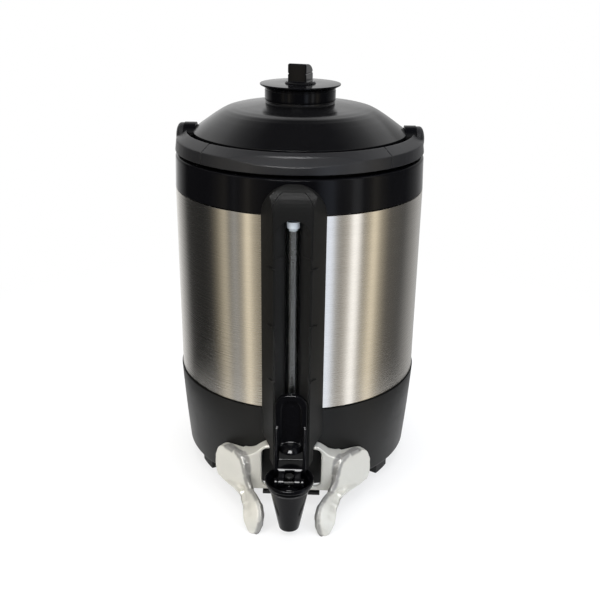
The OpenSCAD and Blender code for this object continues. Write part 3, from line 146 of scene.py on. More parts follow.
def placed(name: str, data: bpy.types.ID) -> bpy.types.Object:
    """Makes an object and puts it in the scene.

    Args:
        name: The object's name.
        data: Its mesh, lamp or camera.

    Returns:
        The object.
    """
    thing = bpy.data.objects.new(name, data)
    bpy.context.scene.collection.objects.link(thing)
    return thing


def written(work: bmesh.types.BMesh, mesh: bpy.types.Mesh) -> bpy.types.Mesh:
    """Writes the work on a mesh into it.

    Args:
        work: The work, which is used up.
        mesh: The mesh.

    Returns:
        The mesh.
    """
    work.to_mesh(mesh)
    work.free()
    return mesh


def shader_group(name: str, numbers: dict[str, float],
                 outputs: Sequence[str]) -> tuple[Nodes, dict]:
    """Starts a shared shader group that takes numbers and gives numbers.

    Args:
        name: The group's name.
        numbers: Its inputs and their defaults.
        outputs: The names of its outputs.

    Returns:
        The nodes of the group, and a dict with its tree, its input and its output node.
    """
    tree = bpy.data.node_groups.new(name, "ShaderNodeTree")
    for key, value in numbers.items():
        socket = tree.interface.new_socket(key, in_out="INPUT", socket_type="NodeSocketFloat")
        socket.default_value = value
    for key in outputs:
        tree.interface.new_socket(key, in_out="OUTPUT", socket_type="NodeSocketFloat")
    nodes = Nodes(tree)
    return nodes, {"tree": tree, "in": nodes.add("NodeGroupInput"),
                   "out": nodes.add("NodeGroupOutput")}


class Surfaces:
    """The shader groups that all finishes share."""

    def __init__(self) -> None:
        """Builds the groups once."""
        self.mould_grain = self._mould_grain()
        self.brush_lines = self._brush_lines()
        self.handling = self._handling()

    @staticmethod
    def _mould_grain() -> bpy.types.NodeTree:
        """Builds the fine leathery grain of a textured mould.

        Returns:
            A group with a size in metres that gives the grain's height.
        """
        nodes, ends = shader_group("mould grain", {"Size": 0.0006}, ["Height"])
        place = nodes.add("ShaderNodeTexCoord").outputs["Object"]
        scale = nodes.math("DIVIDE", 1.0, ends["in"].outputs["Size"])
        cells = nodes.add("ShaderNodeTexVoronoi", {
            "Vector": place, "Scale": scale, "Smoothness": 0.6}, feature="SMOOTH_F1")
        finer = nodes.math("MULTIPLY", scale, 1.7)
        fine = nodes.add("ShaderNodeTexNoise", {"Vector": place, "Scale": finer, "Detail": 2.0})
        height = nodes.math("ADD", cells.outputs["Distance"],
                            nodes.math("MULTIPLY", fine.outputs[0], 0.6))
        nodes.link(height, ends["out"].inputs["Height"])
        return ends["tree"]

    @staticmethod
    def _brush_lines() -> bpy.types.NodeTree:
        """Builds the level lines that a brush leaves round a turned or rolled sheet.

        Returns:
            A group with a pitch and a run in metres that gives a streak value.
        """
        nodes, ends = shader_group("brush lines", {"Pitch": 0.0003, "Run": 0.03},
                                   ["Streak", "Broad"])
        object_place = nodes.add("ShaderNodeTexCoord").outputs["Object"]
        place = nodes.add("ShaderNodeSeparateXYZ", {0: object_place}).outputs
        run = nodes.math("DIVIDE", 1.0, ends["in"].outputs["Run"])
        pitch = nodes.math("DIVIDE", 1.0, ends["in"].outputs["Pitch"])
        wide = nodes.math("MULTIPLY", pitch, 0.12)
        for output, upright, noise in (
                ("Streak", pitch, {"Scale": 1.0, "Detail": 4.0, "Roughness": 0.65}),
                ("Broad", wide, {"Scale": 0.7, "Detail": 3.0})):
            stretched = nodes.add("ShaderNodeCombineXYZ", {
                axis: nodes.math("MULTIPLY", place[axis], scale)
                for axis, scale in enumerate((run, run, upright))})
            lines = nodes.add("ShaderNodeTexNoise", {"Vector": stretched.outputs[0], **noise})
            nodes.link(lines.outputs[0], ends["out"].inputs[output])
        return ends["tree"]

    @staticmethod
    def _handling() -> bpy.types.NodeTree:
        """Builds the soft uneven patches that hands and cloths leave on a surface.

        Returns:
            A group with a size in metres that gives a patch value from 0 to 1.
        """
        nodes, ends = shader_group("handling marks", {"Size": 0.03}, ["Patch"])
        place = nodes.add("ShaderNodeTexCoord").outputs["Object"]
        scale = nodes.math("DIVIDE", 1.0, ends["in"].outputs["Size"])
        noise = nodes.add("ShaderNodeTexNoise", {"Vector": place, "Scale": scale, "Detail": 5.0,
                                                 "Roughness": 0.6, "Distortion": 0.4})
        ramp = nodes.add("ShaderNodeMapRange",
                         {"Value": noise.outputs[0], "From Min": 0.35, "From Max": 0.7})
        nodes.link(ramp.outputs[0], ends["out"].inputs["Patch"])
        return ends["tree"]


SURFACES = Surfaces()


def start_material(name: str) -> tuple[Nodes, bpy.types.Node]:
    """Starts a material.

    Args:
        name: The material's name.

    Returns:
        Its nodes and its Principled shader.
    """
    material = bpy.data.materials.new(name)
    material.use_nodes = True
    nodes = Nodes(material.node_tree)
    return nodes, nodes.find("BSDF_PRINCIPLED")


def use_group(nodes: Nodes, tree: bpy.types.NodeTree, **numbers: float) -> bpy.types.Node:
    """Adds a shared group to a material.

    Args:
        nodes: The material's nodes.
        tree: The group.
        numbers: Values for its inputs.

    Returns:
        The group's node.
    """
    group = nodes.add("ShaderNodeGroup", node_tree=tree)
    for key, value in numbers.items():
        group.inputs[key].default_value = value
    return group


def tint(nodes: Nodes, factor: bpy.types.NodeSocket, dark: Colour,
         light: Colour) -> bpy.types.NodeSocket:
    """Mixes two colours by a factor.

    Args:
        nodes: The material's nodes.
        factor: The factor's socket.
        dark: The colour at factor 0.
        light: The colour at factor 1.

    Returns:
        The mixed colour's socket.
    """
    mix = nodes.add("ShaderNodeMix", data_type="RGBA")
    mix.inputs["A"].default_value = (*dark, 1.0)
    mix.inputs["B"].default_value = (*light, 1.0)
    nodes.link(factor, mix.inputs["Factor"])
    return mix.outputs["Result"]


def grey(nodes: Nodes, tone: Value) -> bpy.types.NodeSocket:
    """Makes a grey of one tone."""
    return nodes.add("ShaderNodeCombineColor", {0: tone, 1: tone, 2: tone}).outputs[0]


def lighter(colour: Colour, share: float) -> Colour:
    """Brightens a colour by a share, up to white."""
    return tuple(min(1.0, c * share) for c in colour)


def bumped(nodes: Nodes, shader: bpy.types.Node, height: bpy.types.NodeSocket, depth: float,
           edge: float) -> None:
    """Gives a shader a bump and softly rounded edges.

    Args:
        nodes: The material's nodes.
        shader: Its Principled shader.
        height: The bump's height.
        depth: The bump's depth in metres.
        edge: Radius of the shaded edges in metres.
    """
    soft = nodes.add("ShaderNodeBevel", {"Radius": edge}, samples=6).outputs[0]
    bump = nodes.add("ShaderNodeBump",
                     {"Height": height, "Normal": soft, "Distance": depth, "Strength": 1.0})
    nodes.link(bump.outputs[0], shader.inputs["Normal"])


GRAIN_LIFT = 1.35
MARK_LIFT = 1.15
METAL_TONES = (0.90, 1.10)
METAL_SPREAD = 0.10
CLEAR_LIFT = 1.06
CLEAR_SPREAD = 0.03


@dataclass(frozen=True)
class Moulding:
    """A plastic or rubber finish.

    Attributes:
        slot: The record's material slot.
        colour: The base colour, linear.
        roughness: The mean roughness.
        skin: How the mould leaves the surface.
        grain: Size of the mould's grain in metres.
        depth: Depth of the grain in metres.
        patch: How much the roughness varies in patches.
        edge: Radius of the shaded edges in metres.
        shine: The shader's specular level.
        marks: Size of the handling marks in metres.
    """

    slot: str
    colour: Colour
    roughness: float
    skin: Skin = Skin.SATIN
    grain: float = 0.5 * MM
    depth: float = 0.03 * MM
    patch: float = 0.06
    edge: float = 0.4 * MM
    shine: float = 0.5
    marks: float = 25 * MM

    def make(self) -> bpy.types.Material:
        """Builds the material.

        Returns:
            The material, named after its slot.
        """
        nodes, shader = start_material(self.slot)
        marks = use_group(nodes, SURFACES.handling, Size=self.marks).outputs["Patch"]
        grain = use_group(nodes, SURFACES.mould_grain, Size=self.grain).outputs["Height"]
        where, lift = (grain, GRAIN_LIFT) if self.skin is Skin.GRAINED else (marks, MARK_LIFT)
        nodes.link(tint(nodes, where, self.colour, lighter(self.colour, lift)),
                   shader.inputs["Base Color"])
        nodes.link(nodes.scaled(marks, self.patch, self.roughness - self.patch / 2),
                   shader.inputs["Roughness"])
        shader.inputs["Specular IOR Level"].default_value = self.shine
        bumped(nodes, shader, grain, self.depth, self.edge)
        return nodes_material(nodes)


@dataclass(frozen=True)
class Metal:
    """A metal finish.

    Attributes:
        slot: The record's material slot.
        colour: The base colour, linear.
        roughness: The mean roughness.
        sheen: How the metal is finished.
        stretch: The shader's anisotropy.
        pitch: Width of one brush line in metres.
        run: Length of a brush line in metres.
        depth: Depth of the lines or the cast grain in metres.
        edge: Radius of the shaded edges in metres.
        metallic: The shader's metallic value.
        worn: Painted shade, a darker colour that stands in for a dark reflection where the piece's
            attribute of that name is 1, if it has one.
        marks: Size of the handling marks in metres.
    """

    slot: str
    colour: Colour
    roughness: float
    sheen: Sheen
    stretch: float = 0.0
    pitch: float = 0.25 * MM
    run: float = 25 * MM
    depth: float = 0.01 * MM
    edge: float = 0.4 * MM
    metallic: float = 1.0
    worn: Colour | None = None
    marks: float = 40 * MM

    def make(self) -> bpy.types.Material:
        """Builds the material.

        Returns:
            The material, named after its slot.
        """
        nodes, shader = start_material(self.slot)
        shader.inputs["Metallic"].default_value = self.metallic
        marks = use_group(nodes, SURFACES.handling, Size=self.marks).outputs["Patch"]
        if self.sheen in (Sheen.BRUSHED, Sheen.DRAWN):
            brush = use_group(nodes, SURFACES.brush_lines, Pitch=self.pitch, Run=self.run)
            height, tone = brush.outputs["Streak"], brush.outputs["Broad"]
        else:
            height = use_group(nodes, SURFACES.mould_grain, Size=self.pitch).outputs["Height"]
            tone = marks
        mean = nodes.math("MULTIPLY", nodes.math("ADD", height, tone), 0.5)
        colour = tint(nodes, mean, *(lighter(self.colour, share) for share in METAL_TONES))
        # Painted shade: edges marked by the attribute take a darker colour that stands in for a dark
        # reflection.
        if self.worn:
            shade_weight = nodes.add("ShaderNodeAttribute", attribute_name="worn").outputs["Fac"]
            shaded_colour = tint(nodes, shade_weight, self.worn, self.worn)
            nodes.link(colour, shaded_colour.node.inputs["A"])
            colour = shaded_colour
        nodes.link(colour, shader.inputs["Base Color"])
        nodes.link(nodes.scaled(height, METAL_SPREAD, self.roughness - METAL_SPREAD / 2),
                   shader.inputs["Roughness"])
        if self.stretch:
            shader.inputs["Anisotropic"].default_value = self.stretch
            shader.inputs["Anisotropic Rotation"].default_value = 0.25
            around = nodes.add("ShaderNodeTangent", direction_type="RADIAL", axis="Z")
            nodes.link(around.outputs[0], shader.inputs["Tangent"])
        bumped(nodes, shader, height, self.depth, self.edge)
        return nodes_material(nodes)


@dataclass(frozen=True)
class Clear:
    """A see-through finish.

    Attributes:
        slot: The record's material slot.
        colour: The base colour, linear.
        roughness: The roughness.
        ior: Index of refraction.
        transmission: The shader's transmission weight.
        marks: Size of the handling marks in metres.
    """

    slot: str
    colour: Colour
    roughness: float
    ior: float
    transmission: float
    marks: float = 12 * MM

    def make(self) -> bpy.types.Material:
        """Builds the material.

        Returns:
            The material, named after its slot.
        """
        nodes, shader = start_material(self.slot)
        marks = use_group(nodes, SURFACES.handling, Size=self.marks).outputs["Patch"]
        nodes.link(tint(nodes, marks, self.colour, lighter(self.colour, CLEAR_LIFT)),
                   shader.inputs["Base Color"])
        nodes.link(nodes.scaled(marks, CLEAR_SPREAD, self.roughness), shader.inputs["Roughness"])
        shader.inputs["IOR"].default_value = self.ior
        shader.inputs["Transmission Weight"].default_value = self.transmission
        return nodes_material(nodes)


def nodes_material(nodes: Nodes) -> bpy.types.Material:
    """Finds the material that a shader tree belongs to."""
    return next(m for m in bpy.data.materials if m.node_tree == nodes.tree)


FINISHES = (
    Metal("brushed_steel", (0.76, 0.73, 0.68), 0.27, Sheen.BRUSHED, stretch=0.9, run=160 * MM,
          depth=0.003 * MM),
    Metal("satin_steel", (0.62, 0.62, 0.61), 0.34, Sheen.DRAWN, stretch=0.5, pitch=0.5 * MM),
    Metal("screw_steel", (0.60, 0.60, 0.61), 0.26, Sheen.PLATED, pitch=0.3 * MM,
          depth=0.004 * MM, edge=0.25 * MM),
    # The cast metal's darker edge colour is painted shade that stands in for a dark reflection on the
    # stand's inner bevels.
    Metal("cast_aluminium", (0.57, 0.56, 0.51), 0.40, Sheen.CAST, pitch=0.45 * MM,
          depth=0.010 * MM, edge=0.8 * MM, metallic=0.25, worn=(0.27, 0.265, 0.25)),
    Moulding("gloss_black", (0.0024, 0.0024, 0.0030), 0.12, Skin.POLISHED,
             depth=0.002 * MM, shine=0.14),
    Moulding("lid_black", (0.0028, 0.0028, 0.0032), 0.20, Skin.SATIN,
             depth=0.003 * MM, shine=0.28),
    Moulding("handle_black", (0.0100, 0.0100, 0.0108), 0.36, Skin.GRAINED,
             grain=0.45 * MM, depth=0.03 * MM, shine=0.36),
    Moulding("matt_black", (0.0066, 0.0066, 0.0064), 0.40, Skin.GRAINED,
             grain=0.5 * MM, depth=0.02 * MM, shine=0.16),
    Moulding("black_rubber", (0.009, 0.009, 0.009), 0.62, Skin.GRAINED,
             grain=0.7 * MM, depth=0.05 * MM, shine=0.3),
    Moulding("pale_rubber", (0.62, 0.61, 0.56), 0.45, Skin.SATIN, depth=0.01 * MM),
    Clear("clear_glass", (0.93, 0.95, 0.96), 0.02, 1.47, 1.0),
    Clear("pale_cap", (0.72, 0.78, 0.83), 0.18, 1.45, 0.35),
)


class Wardrobe:
    """Makes each finish once and dresses pieces with it."""

    def __init__(self, finishes: Iterable[Moulding | Metal | Clear]) -> None:
        """Builds the materials.

        Args:
            finishes: The finishes.
        """
        self.materials = {finish.slot: finish.make() for finish in finishes}

    def dress(self, piece: bpy.types.Object, slot: str) -> None:
        """Gives a piece the material of a slot.

        Args:
            piece: A mesh object.
            slot: The record's material slot.
        """
        if not piece.material_slots:
            piece.data.materials.append(None)
        for place in piece.material_slots:
            place.material = self.materials[slot]

    def dress_frame(self) -> None:
        """Gives every CAD node the material that the record names for it."""
        for part in frame["record"]["subparts"]:
            self.dress(frame["nodes"][part["node"]], part["material_slot"])


@dataclass(frozen=True)
class SoftBox:
    """A rectangular lamp that faces the object.

    Attributes:
        name: The lamp's name.
        azimuth: Its direction from the front towards +X, in degrees.
        elevation: Its height above the object's middle, in degrees.
        distance: Its distance in metres.
        size: Its width and height in metres.
        watts: Its power.
        colour: Its colour.
    """

    name: str
    azimuth: float
    elevation: float
    distance: float
    size: tuple[float, float]
    watts: float
    colour: Colour = WHITE


@dataclass(frozen=True)
class Board:
    """One shade in the ring of boards.

    Attributes:
        azimuth: Its direction from the front towards +X, in degrees.
        tone: How bright it is, where 1 is white.
        colour: Its colour.
    """

    azimuth: float
    tone: float
    colour: Colour = WHITE


@dataclass(frozen=True)
class Glint:
    """A bright louvred strip on the ring of boards that gives moulded edges their highlights.

    Attributes:
        azimuth: The direction of its middle from the front towards +X, in degrees.
        width: How far it spans, in degrees.
        heights: Heights of its lower and upper edge in metres.
        tone: How bright it is, where 1 is white.
        louvre: Sine of the least slope at which surfaces below see it. Flatter, it is dark.
    """

    azimuth: float
    width: float
    heights: tuple[float, float]
    tone: float
    louvre: float = 0.3

    def shade(self, nodes: Nodes) -> bpy.types.NodeSocket:
        """Shades the strip.

        Args:
            nodes: The nodes of the strip's material.

        Returns:
            The colour's socket.
        """
        way = nodes.add("ShaderNodeNewGeometry").outputs["Incoming"]
        rise = nodes.add("ShaderNodeSeparateXYZ", {0: way}).outputs[2]
        lit = nodes.math("LESS_THAN", rise, -self.louvre)
        return grey(nodes, nodes.math("MULTIPLY", lit, self.tone))


AMBER = (1.0, 0.90, 0.71)
WARM = (1.0, 0.95, 0.87)
COOL = (0.88, 0.96, 1.12)
SOFT_BOXES = (
    SoftBox("key", -48, 34, 1.4, (0.5, 1.2), 10, WARM),
    SoftBox("side", 50, 30, 1.4, (0.4, 1.2), 8, COOL),
    SoftBox("top", 175, 74, 1.5, (1.3, 1.0), 17),
    SoftBox("front", 4, 60, 1.6, (0.9, 0.5), 7),
)
BOARDS = (
    Board(-180, 0.80), Board(-126, 1.0), Board(-104, 0.40), Board(-92, 0.03), Board(-70, 0.025),
    Board(-62, 0.04), Board(-56, 0.18, AMBER), Board(-48.5, 0.62, AMBER), Board(-44.4, 0.13),
    Board(-41, 0.42), Board(-38, 0.24, WARM), Board(-34.5, 0.46, AMBER),
    Board(-31.5, 1.15, AMBER), Board(-28, 0.50, AMBER), Board(-24, 0.28, AMBER),
    Board(-12, 0.06), Board(12, 0.06), Board(19, 1.05, COOL), Board(23, 1.25, COOL),
    Board(26.5, 0.45), Board(30, 0.28, WARM), Board(35, 0.52, WARM), Board(38.5, 1.50),
    Board(41.5, 1.40), Board(45, 0.32, WARM), Board(50, 0.44, AMBER), Board(54, 1.10, AMBER),
    Board(60, 0.40, AMBER), Board(68, 0.12, WARM), Board(86, 0.08), Board(115, 0.45),
    Board(180, 0.80),
)
GLINTS = (
    Glint(-2, 13, (0.090, 0.205), 45.0),
    Glint(-6, 30, (0.370, 0.398), 18.0),
)


@dataclass
class Studio:
    """The floor, the light and the camera.

    Attributes:
        eye: The camera's place in metres.
        pitch: How far the camera looks down, in degrees.
        yaw: How far it looks to the side in its own frame, in degrees.
        roll: Its roll in degrees.
        turn: How far the whole camera is turned about the vertical, in degrees.
        focal_px: Focal length in pixels of the photograph.
        frame_px: Width of the photograph in pixels.
        sensor: Width of the camera's sensor in millimetres.
        floor_size: Side of the floor in metres.
        shadow_reach: Distances from the axis over which the floor turns to plain white, in metres.
        floor_glow: How far the floor near the object is already plain white, from 0 to 1.
        fill: Strength of the surround on the object.
        board_radius: Radius of the ring of boards in metres.
        board_span: Heights of the boards' lower and upper edge in metres.
        ceiling: Radius and height of the dark ceiling in metres.
        flats: How many flats the ring and the ceiling's rim have.
        glint_flats: How many flats a glint has.
        glint_share: The glints' radius as a share of the ring's.
        ceiling_fade: Radii in metres between which the ceiling turns paler, and its two tones.
        fill_colour: Colour of the surround on the object.
        floor_tone: The floor's own tone, from 0 to 1.
        aim: Height that the lamps point at, in metres.
        pieces: The pieces that are not part of the object.
    """

    eye: tuple[float, float, float] = (0.0266, -0.7400, 0.4467)
    pitch: float = 21.72
    yaw: float = 0.15
    roll: float = 0.70
    turn: float = 2.06
    focal_px: float = 838.8
    frame_px: float = 600.0
    sensor: float = 36.0
    floor_size: float = 40.0
    shadow_reach: tuple[float, float] = (0.22, 0.60)
    floor_glow: float = 0.70
    fill: float = 0.55
    board_radius: float = 0.20
    board_span: tuple[float, float] = (0.004, 0.40)
    ceiling: tuple[float, float] = (0.62, 0.90)
    flats: int = 96
    glint_flats: int = 12
    glint_share: float = 0.99
    ceiling_fade: tuple[tuple[float, float], tuple[float, float]] = ((0.25, 0.62), (0.03, 0.8))
    fill_colour: Colour = (0.95, 0.97, 1.0)
    floor_tone: float = 0.9
    aim: float = 0.18
    pieces: list[bpy.types.Object] = field(default_factory=list)

    def build(self) -> None:
        """Builds the whole studio."""
        self._camera()
        self._world()
        self._floor()
        self._lamps()
        self._boards()

    def _camera(self) -> None:
        """Places the camera where the photograph was taken from."""
        down, side, roll = (math.radians(a) for a in (self.pitch, self.yaw, self.roll))
        look = Vector((math.sin(side) * math.cos(down), math.cos(side) * math.cos(down),
                       -math.sin(down)))
        right = Vector((math.cos(side), -math.sin(side), 0.0))
        up = right.cross(look)
        across = right * math.cos(roll) + up * math.sin(roll)
        upward = up * math.cos(roll) - right * math.sin(roll)
        pose = Matrix((across, upward, -look)).transposed().to_4x4()
        pose = Matrix.Rotation(math.radians(self.turn), 4, "Z") @ pose
        pose.translation = Vector(self.eye)
        data = bpy.data.cameras.new("camera")
        data.sensor_width = self.sensor
        data.lens = self.focal_px / self.frame_px * self.sensor
        data.clip_start = 0.01
        camera = placed("camera", data)
        camera.matrix_world = pose
        bpy.context.scene.camera = camera

    @staticmethod
    def _seen(nodes: Nodes) -> bpy.types.NodeSocket:
        """Finds whether a surface is looked at, straight, through glass or in a mirror.

        Args:
            nodes: A material's or the world's nodes.

        Returns:
            A socket that is 1 for such rays and 0 for those that only light things.
        """
        rays = nodes.add("ShaderNodeLightPath").outputs
        ahead = nodes.math("MAXIMUM", rays["Is Camera Ray"], rays["Is Transmission Ray"])
        return nodes.math("MAXIMUM", ahead, rays["Is Glossy Ray"])

    def _world(self) -> None:
        """Makes a plain pale surround, white where it is seen."""
        world = bpy.data.worlds.new("studio")
        world.use_nodes = True
        nodes = Nodes(world.node_tree)
        nodes.tree.nodes.clear()
        fill = nodes.add("ShaderNodeBackground",
                         {"Color": (*self.fill_colour, 1.0), "Strength": self.fill})
        white = nodes.add("ShaderNodeBackground", {"Color": (*WHITE, 1.0), "Strength": 1.0})
        mix = nodes.add("ShaderNodeMixShader",
                        {0: self._seen(nodes), 1: fill.outputs[0], 2: white.outputs[0]})
        out = nodes.add("ShaderNodeOutputWorld")
        nodes.link(mix.outputs[0], out.inputs["Surface"])
        bpy.context.scene.world = world

    def _floor(self) -> None:
        """Lays the pale floor, which keeps the shadow near the object and is white elsewhere."""
        mesh = bpy.data.meshes.new("floor")
        half = self.floor_size / 2
        corners = [(-half, -half, 0), (half, -half, 0), (half, half, 0), (-half, half, 0)]
        mesh.from_pydata(corners, [], [(0, 1, 2, 3)])
        floor = placed("floor", mesh)
        nodes, shader = start_material("floor")
        shader.inputs["Base Color"].default_value = (*(self.floor_tone,) * 3, 1.0)
        shader.inputs["Roughness"].default_value = 0.9
        shader.inputs["Specular IOR Level"].default_value = 0.0
        place = nodes.add("ShaderNodeTexCoord").outputs["Object"]
        away = nodes.add("ShaderNodeVectorMath", {0: place}, operation="LENGTH").outputs["Value"]
        near, off = self.shadow_reach
        far = nodes.add("ShaderNodeMapRange", {
            "Value": away, "From Min": near, "From Max": off, "To Min": self.floor_glow},
            interpolation_type="SMOOTHSTEP").outputs[0]
        glow = nodes.add("ShaderNodeEmission", {"Color": (*WHITE, 1.0), "Strength": 1.0})
        share = nodes.math("MULTIPLY", self._seen(nodes), far)
        mix = nodes.add("ShaderNodeMixShader",
                        {0: share, 1: shader.outputs[0], 2: glow.outputs[0]})
        nodes.link(mix.outputs[0], nodes.find("OUTPUT_MATERIAL").inputs["Surface"])
        mesh.materials.append(nodes_material(nodes))
        self.pieces.append(floor)

    def _lamps(self) -> None:
        """Hangs the soft boxes."""
        target = Vector((0.0, 0.0, self.aim))
        for lamp in SOFT_BOXES:
            a, e = math.radians(lamp.azimuth), math.radians(lamp.elevation)
            way = Vector((math.sin(a) * math.cos(e), -math.cos(a) * math.cos(e), math.sin(e)))
            data = bpy.data.lights.new(lamp.name, "AREA")
            data.shape = "RECTANGLE"
            data.size, data.size_y = lamp.size
            data.energy = lamp.watts
            data.color = lamp.colour
            box = placed(lamp.name, data)
            box.location = target + way * lamp.distance
            box.rotation_euler = way.to_track_quat("Z", "Y").to_euler()
            box.visible_glossy = False

    def _seen_in_mirrors(self, name: str, points: Sequence[Point], faces: Sequence[tuple],
                         tone: Callable[[Nodes], bpy.types.NodeSocket]) -> None:
        """Adds a glowing board that only mirrors see.

        Args:
            name: The board's name.
            points: Its corners in metres.
            faces: Its faces.
            tone: A function from the material's nodes to the glow's colour.
        """
        mesh = bpy.data.meshes.new(name)
        mesh.from_pydata(points, [], faces)
        board = placed(name, mesh)
        nodes, shader = start_material(name)
        glow = nodes.add("ShaderNodeEmission", {"Color": tone(nodes), "Strength": 1.0})
        nodes.link(glow.outputs[0], nodes.find("OUTPUT_MATERIAL").inputs["Surface"])
        nodes.tree.nodes.remove(shader)
        mesh.materials.append(nodes_material(nodes))
        board.visible_camera = False
        board.visible_diffuse = False
        board.visible_shadow = False
        board.visible_transmission = False
        self.pieces.append(board)

    def _boards(self) -> None:
        """Stands a ring of dark and pale boards round the object, under a dark ceiling."""
        parts = self.flats
        turns = [2 * math.pi * k / parts for k in range(parts)]
        r = self.board_radius
        ring = [(math.sin(a) * r, -math.cos(a) * r, z) for z in self.board_span for a in turns]
        walls = [(k, (k + 1) % parts, parts + (k + 1) % parts, parts + k) for k in range(parts)]
        self._seen_in_mirrors("boards", ring, walls, self._ring_tone)
        for number, glint in enumerate(GLINTS):
            steps = self.glint_flats
            spans = [math.radians(glint.azimuth + glint.width * (k / steps - 0.5))
                     for k in range(steps + 1)]
            r = self.board_radius * self.glint_share
            strip = [(math.sin(a) * r, -math.cos(a) * r, z) for z in glint.heights for a in spans]
            faces = [(k, k + 1, steps + 2 + k, steps + 1 + k) for k in range(steps)]
            self._seen_in_mirrors("glint_%d" % number, strip, faces, glint.shade)
        r, z = self.ceiling
        rim = [(math.sin(a) * r, -math.cos(a) * r, z) for a in turns]
        self._seen_in_mirrors("ceiling", rim, [tuple(range(parts))], self._ceiling_tone)

    @staticmethod
    def _ring_tone(nodes: Nodes) -> bpy.types.NodeSocket:
        """Shades the ring by its direction from the axis.

        Args:
            nodes: The nodes of the ring's material.

        Returns:
            The colour's socket.
        """
        object_place = nodes.add("ShaderNodeTexCoord").outputs["Object"]
        x, y, _ = nodes.add("ShaderNodeSeparateXYZ", {0: object_place}).outputs
        angle = nodes.math("ARCTAN2", x, nodes.math("MULTIPLY", y, -1.0))
        turn = nodes.add("ShaderNodeMapRange",
                         {"Value": angle, "From Min": -math.pi, "From Max": math.pi})
        ramp = nodes.add("ShaderNodeValToRGB", {0: turn.outputs[0]})
        stops = ramp.color_ramp.elements
        while len(stops) < len(BOARDS):
            stops.new(0.5)
        for stop, board in zip(stops, BOARDS):
            stop.position = (board.azimuth + 180.0) / 360.0
            stop.color = (*(board.tone * c for c in board.colour), 1.0)
        return ramp.outputs[0]

    def _ceiling_tone(self, nodes: Nodes) -> bpy.types.NodeSocket:
        """Shades the ceiling: dark in the middle and paler towards its rim.

        Args:
            nodes: The nodes of the ceiling's material.

        Returns:
            The colour's socket.
        """
        place = nodes.add("ShaderNodeTexCoord").outputs["Object"]
        flat = nodes.add("ShaderNodeVectorMath", {0: place, 1: (1.0, 1.0, 0.0)},
                         operation="MULTIPLY").outputs[0]
        away = nodes.add("ShaderNodeVectorMath", {0: flat}, operation="LENGTH").outputs["Value"]
        (inner, outer), (dark, pale) = self.ceiling_fade
        fade = nodes.add("ShaderNodeMapRange", {
            "Value": away, "From Min": inner, "From Max": outer, "To Min": dark, "To Max": pale})
        return grey(nodes, fade.outputs[0])


def polar(angle: float, radius: float, height: float) -> Vector:
    """Places a point by its angle from the front towards +X in degrees, its radius and its height."""
    turn = math.radians(angle)
    return Vector((math.sin(turn) * radius, -math.cos(turn) * radius, height))


def smooth_through(values: Sequence, steps: int) -> list:
    """Runs a smooth curve through a list of numbers or points.

    Args:
        values: The numbers or points.
        steps: How many steps lie between two of them.

    Returns:
        The finer list.
    """
    last = len(values) - 1
    out = []
    for i in range(last):
        a, b, c, d = (values[max(0, min(last, i + k))] for k in (-1, 0, 1, 2))
        for k in range(steps):
            t = k / steps
            third = (b - c) * 1.5 + (d - a) * 0.5
            second = (a - b) + (c - b) * 1.5 - (d - b) * 0.5
            out.append(b + ((c - a) * 0.5 + (second + third * t) * t) * t)
    out.append(values[last])
    return out


def loft(rings: Sequence[Sequence[Vector]]) -> Shell:
    """Closes a solid through rings of equally many points.

    Args:
        rings: The rings from one end to the other.

    Returns:
        Its points and faces.
    """
    count = len(rings[0])
    points = [tuple(p) for ring in rings for p in ring]
    last = len(points) - 1
    faces = [tuple(range(count)), tuple(range(last, last - count, -1))]
    for j in range(len(rings) - 1):
        for k in range(count):
            n = (k + 1) % count
            here, there = j * count, (j + 1) * count
            faces.append((here + k, there + k, there + n, here + n))
    return points, faces


class Finisher:
    """Turns meshes into finished pieces."""

    def __init__(self, wardrobe: Wardrobe) -> None:
        """Keeps the finishes.

        Args:
            wardrobe: The finishes.
        """
        self.wardrobe = wardrobe

    def finish(self, name: str, mesh: bpy.types.Mesh, slot: str, body: str, nodes: Sequence[str],
               crease: float = 32.0) -> None:
        """Dresses a mesh, ties it to its body and hides the CAD nodes that it stands for.

        Args:
            name: The piece's name.
            mesh: Its mesh, in place, in metres.
            slot: The record's material slot.
            body: The body that it rides on.
            nodes: The CAD nodes that it stands for.
            crease: Angle in degrees above which an edge stays sharp.
        """
        mesh.name = name
        mesh.polygons.foreach_set("use_smooth", [True] * len(mesh.polygons))
        mesh.set_sharp_from_angle(angle=math.radians(crease))
        piece = placed(name, mesh)
        self.wardrobe.dress(piece, slot)
        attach(piece, body)
        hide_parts(*nodes)
        LOG.info("%s: %d faces on %s for %s", name, len(mesh.polygons), body, ", ".join(nodes))


MERGE = 0.002 * MM


def gathered(name: str, nodes: Sequence[str], shells: Iterable[Shell] = ()) -> bpy.types.Mesh:
    """Copies CAD solids and adds closed shells to them.

    Args:
        name: The new mesh's name.
        nodes: The CAD nodes to copy.
        shells: Points and faces in metres.

    Returns:
        One mesh with all of them.
    """
    work = bmesh.new()
    for node in nodes:
        work.from_mesh(frame["nodes"][node].data)
    bmesh.ops.remove_doubles(work, verts=work.verts, dist=MERGE)
    for points, faces in shells:
        start = [work.verts.new(p) for p in points]
        added = [work.faces.new([start[k] for k in face]) for face in faces]
        bmesh.ops.recalc_face_normals(work, faces=added)
    return written(work, bpy.data.meshes.new(name))


def plain(holder: bpy.types.Object) -> bpy.types.Mesh:
    """Turns what an object's modifiers make of it into a plain mesh.

    Args:
        holder: The object, which is used up.

    Returns:
        The mesh.
    """
    state = bpy.context.evaluated_depsgraph_get()
    mesh = bpy.data.meshes.new_from_object(holder.evaluated_get(state))
    bpy.data.objects.remove(holder)
    return mesh


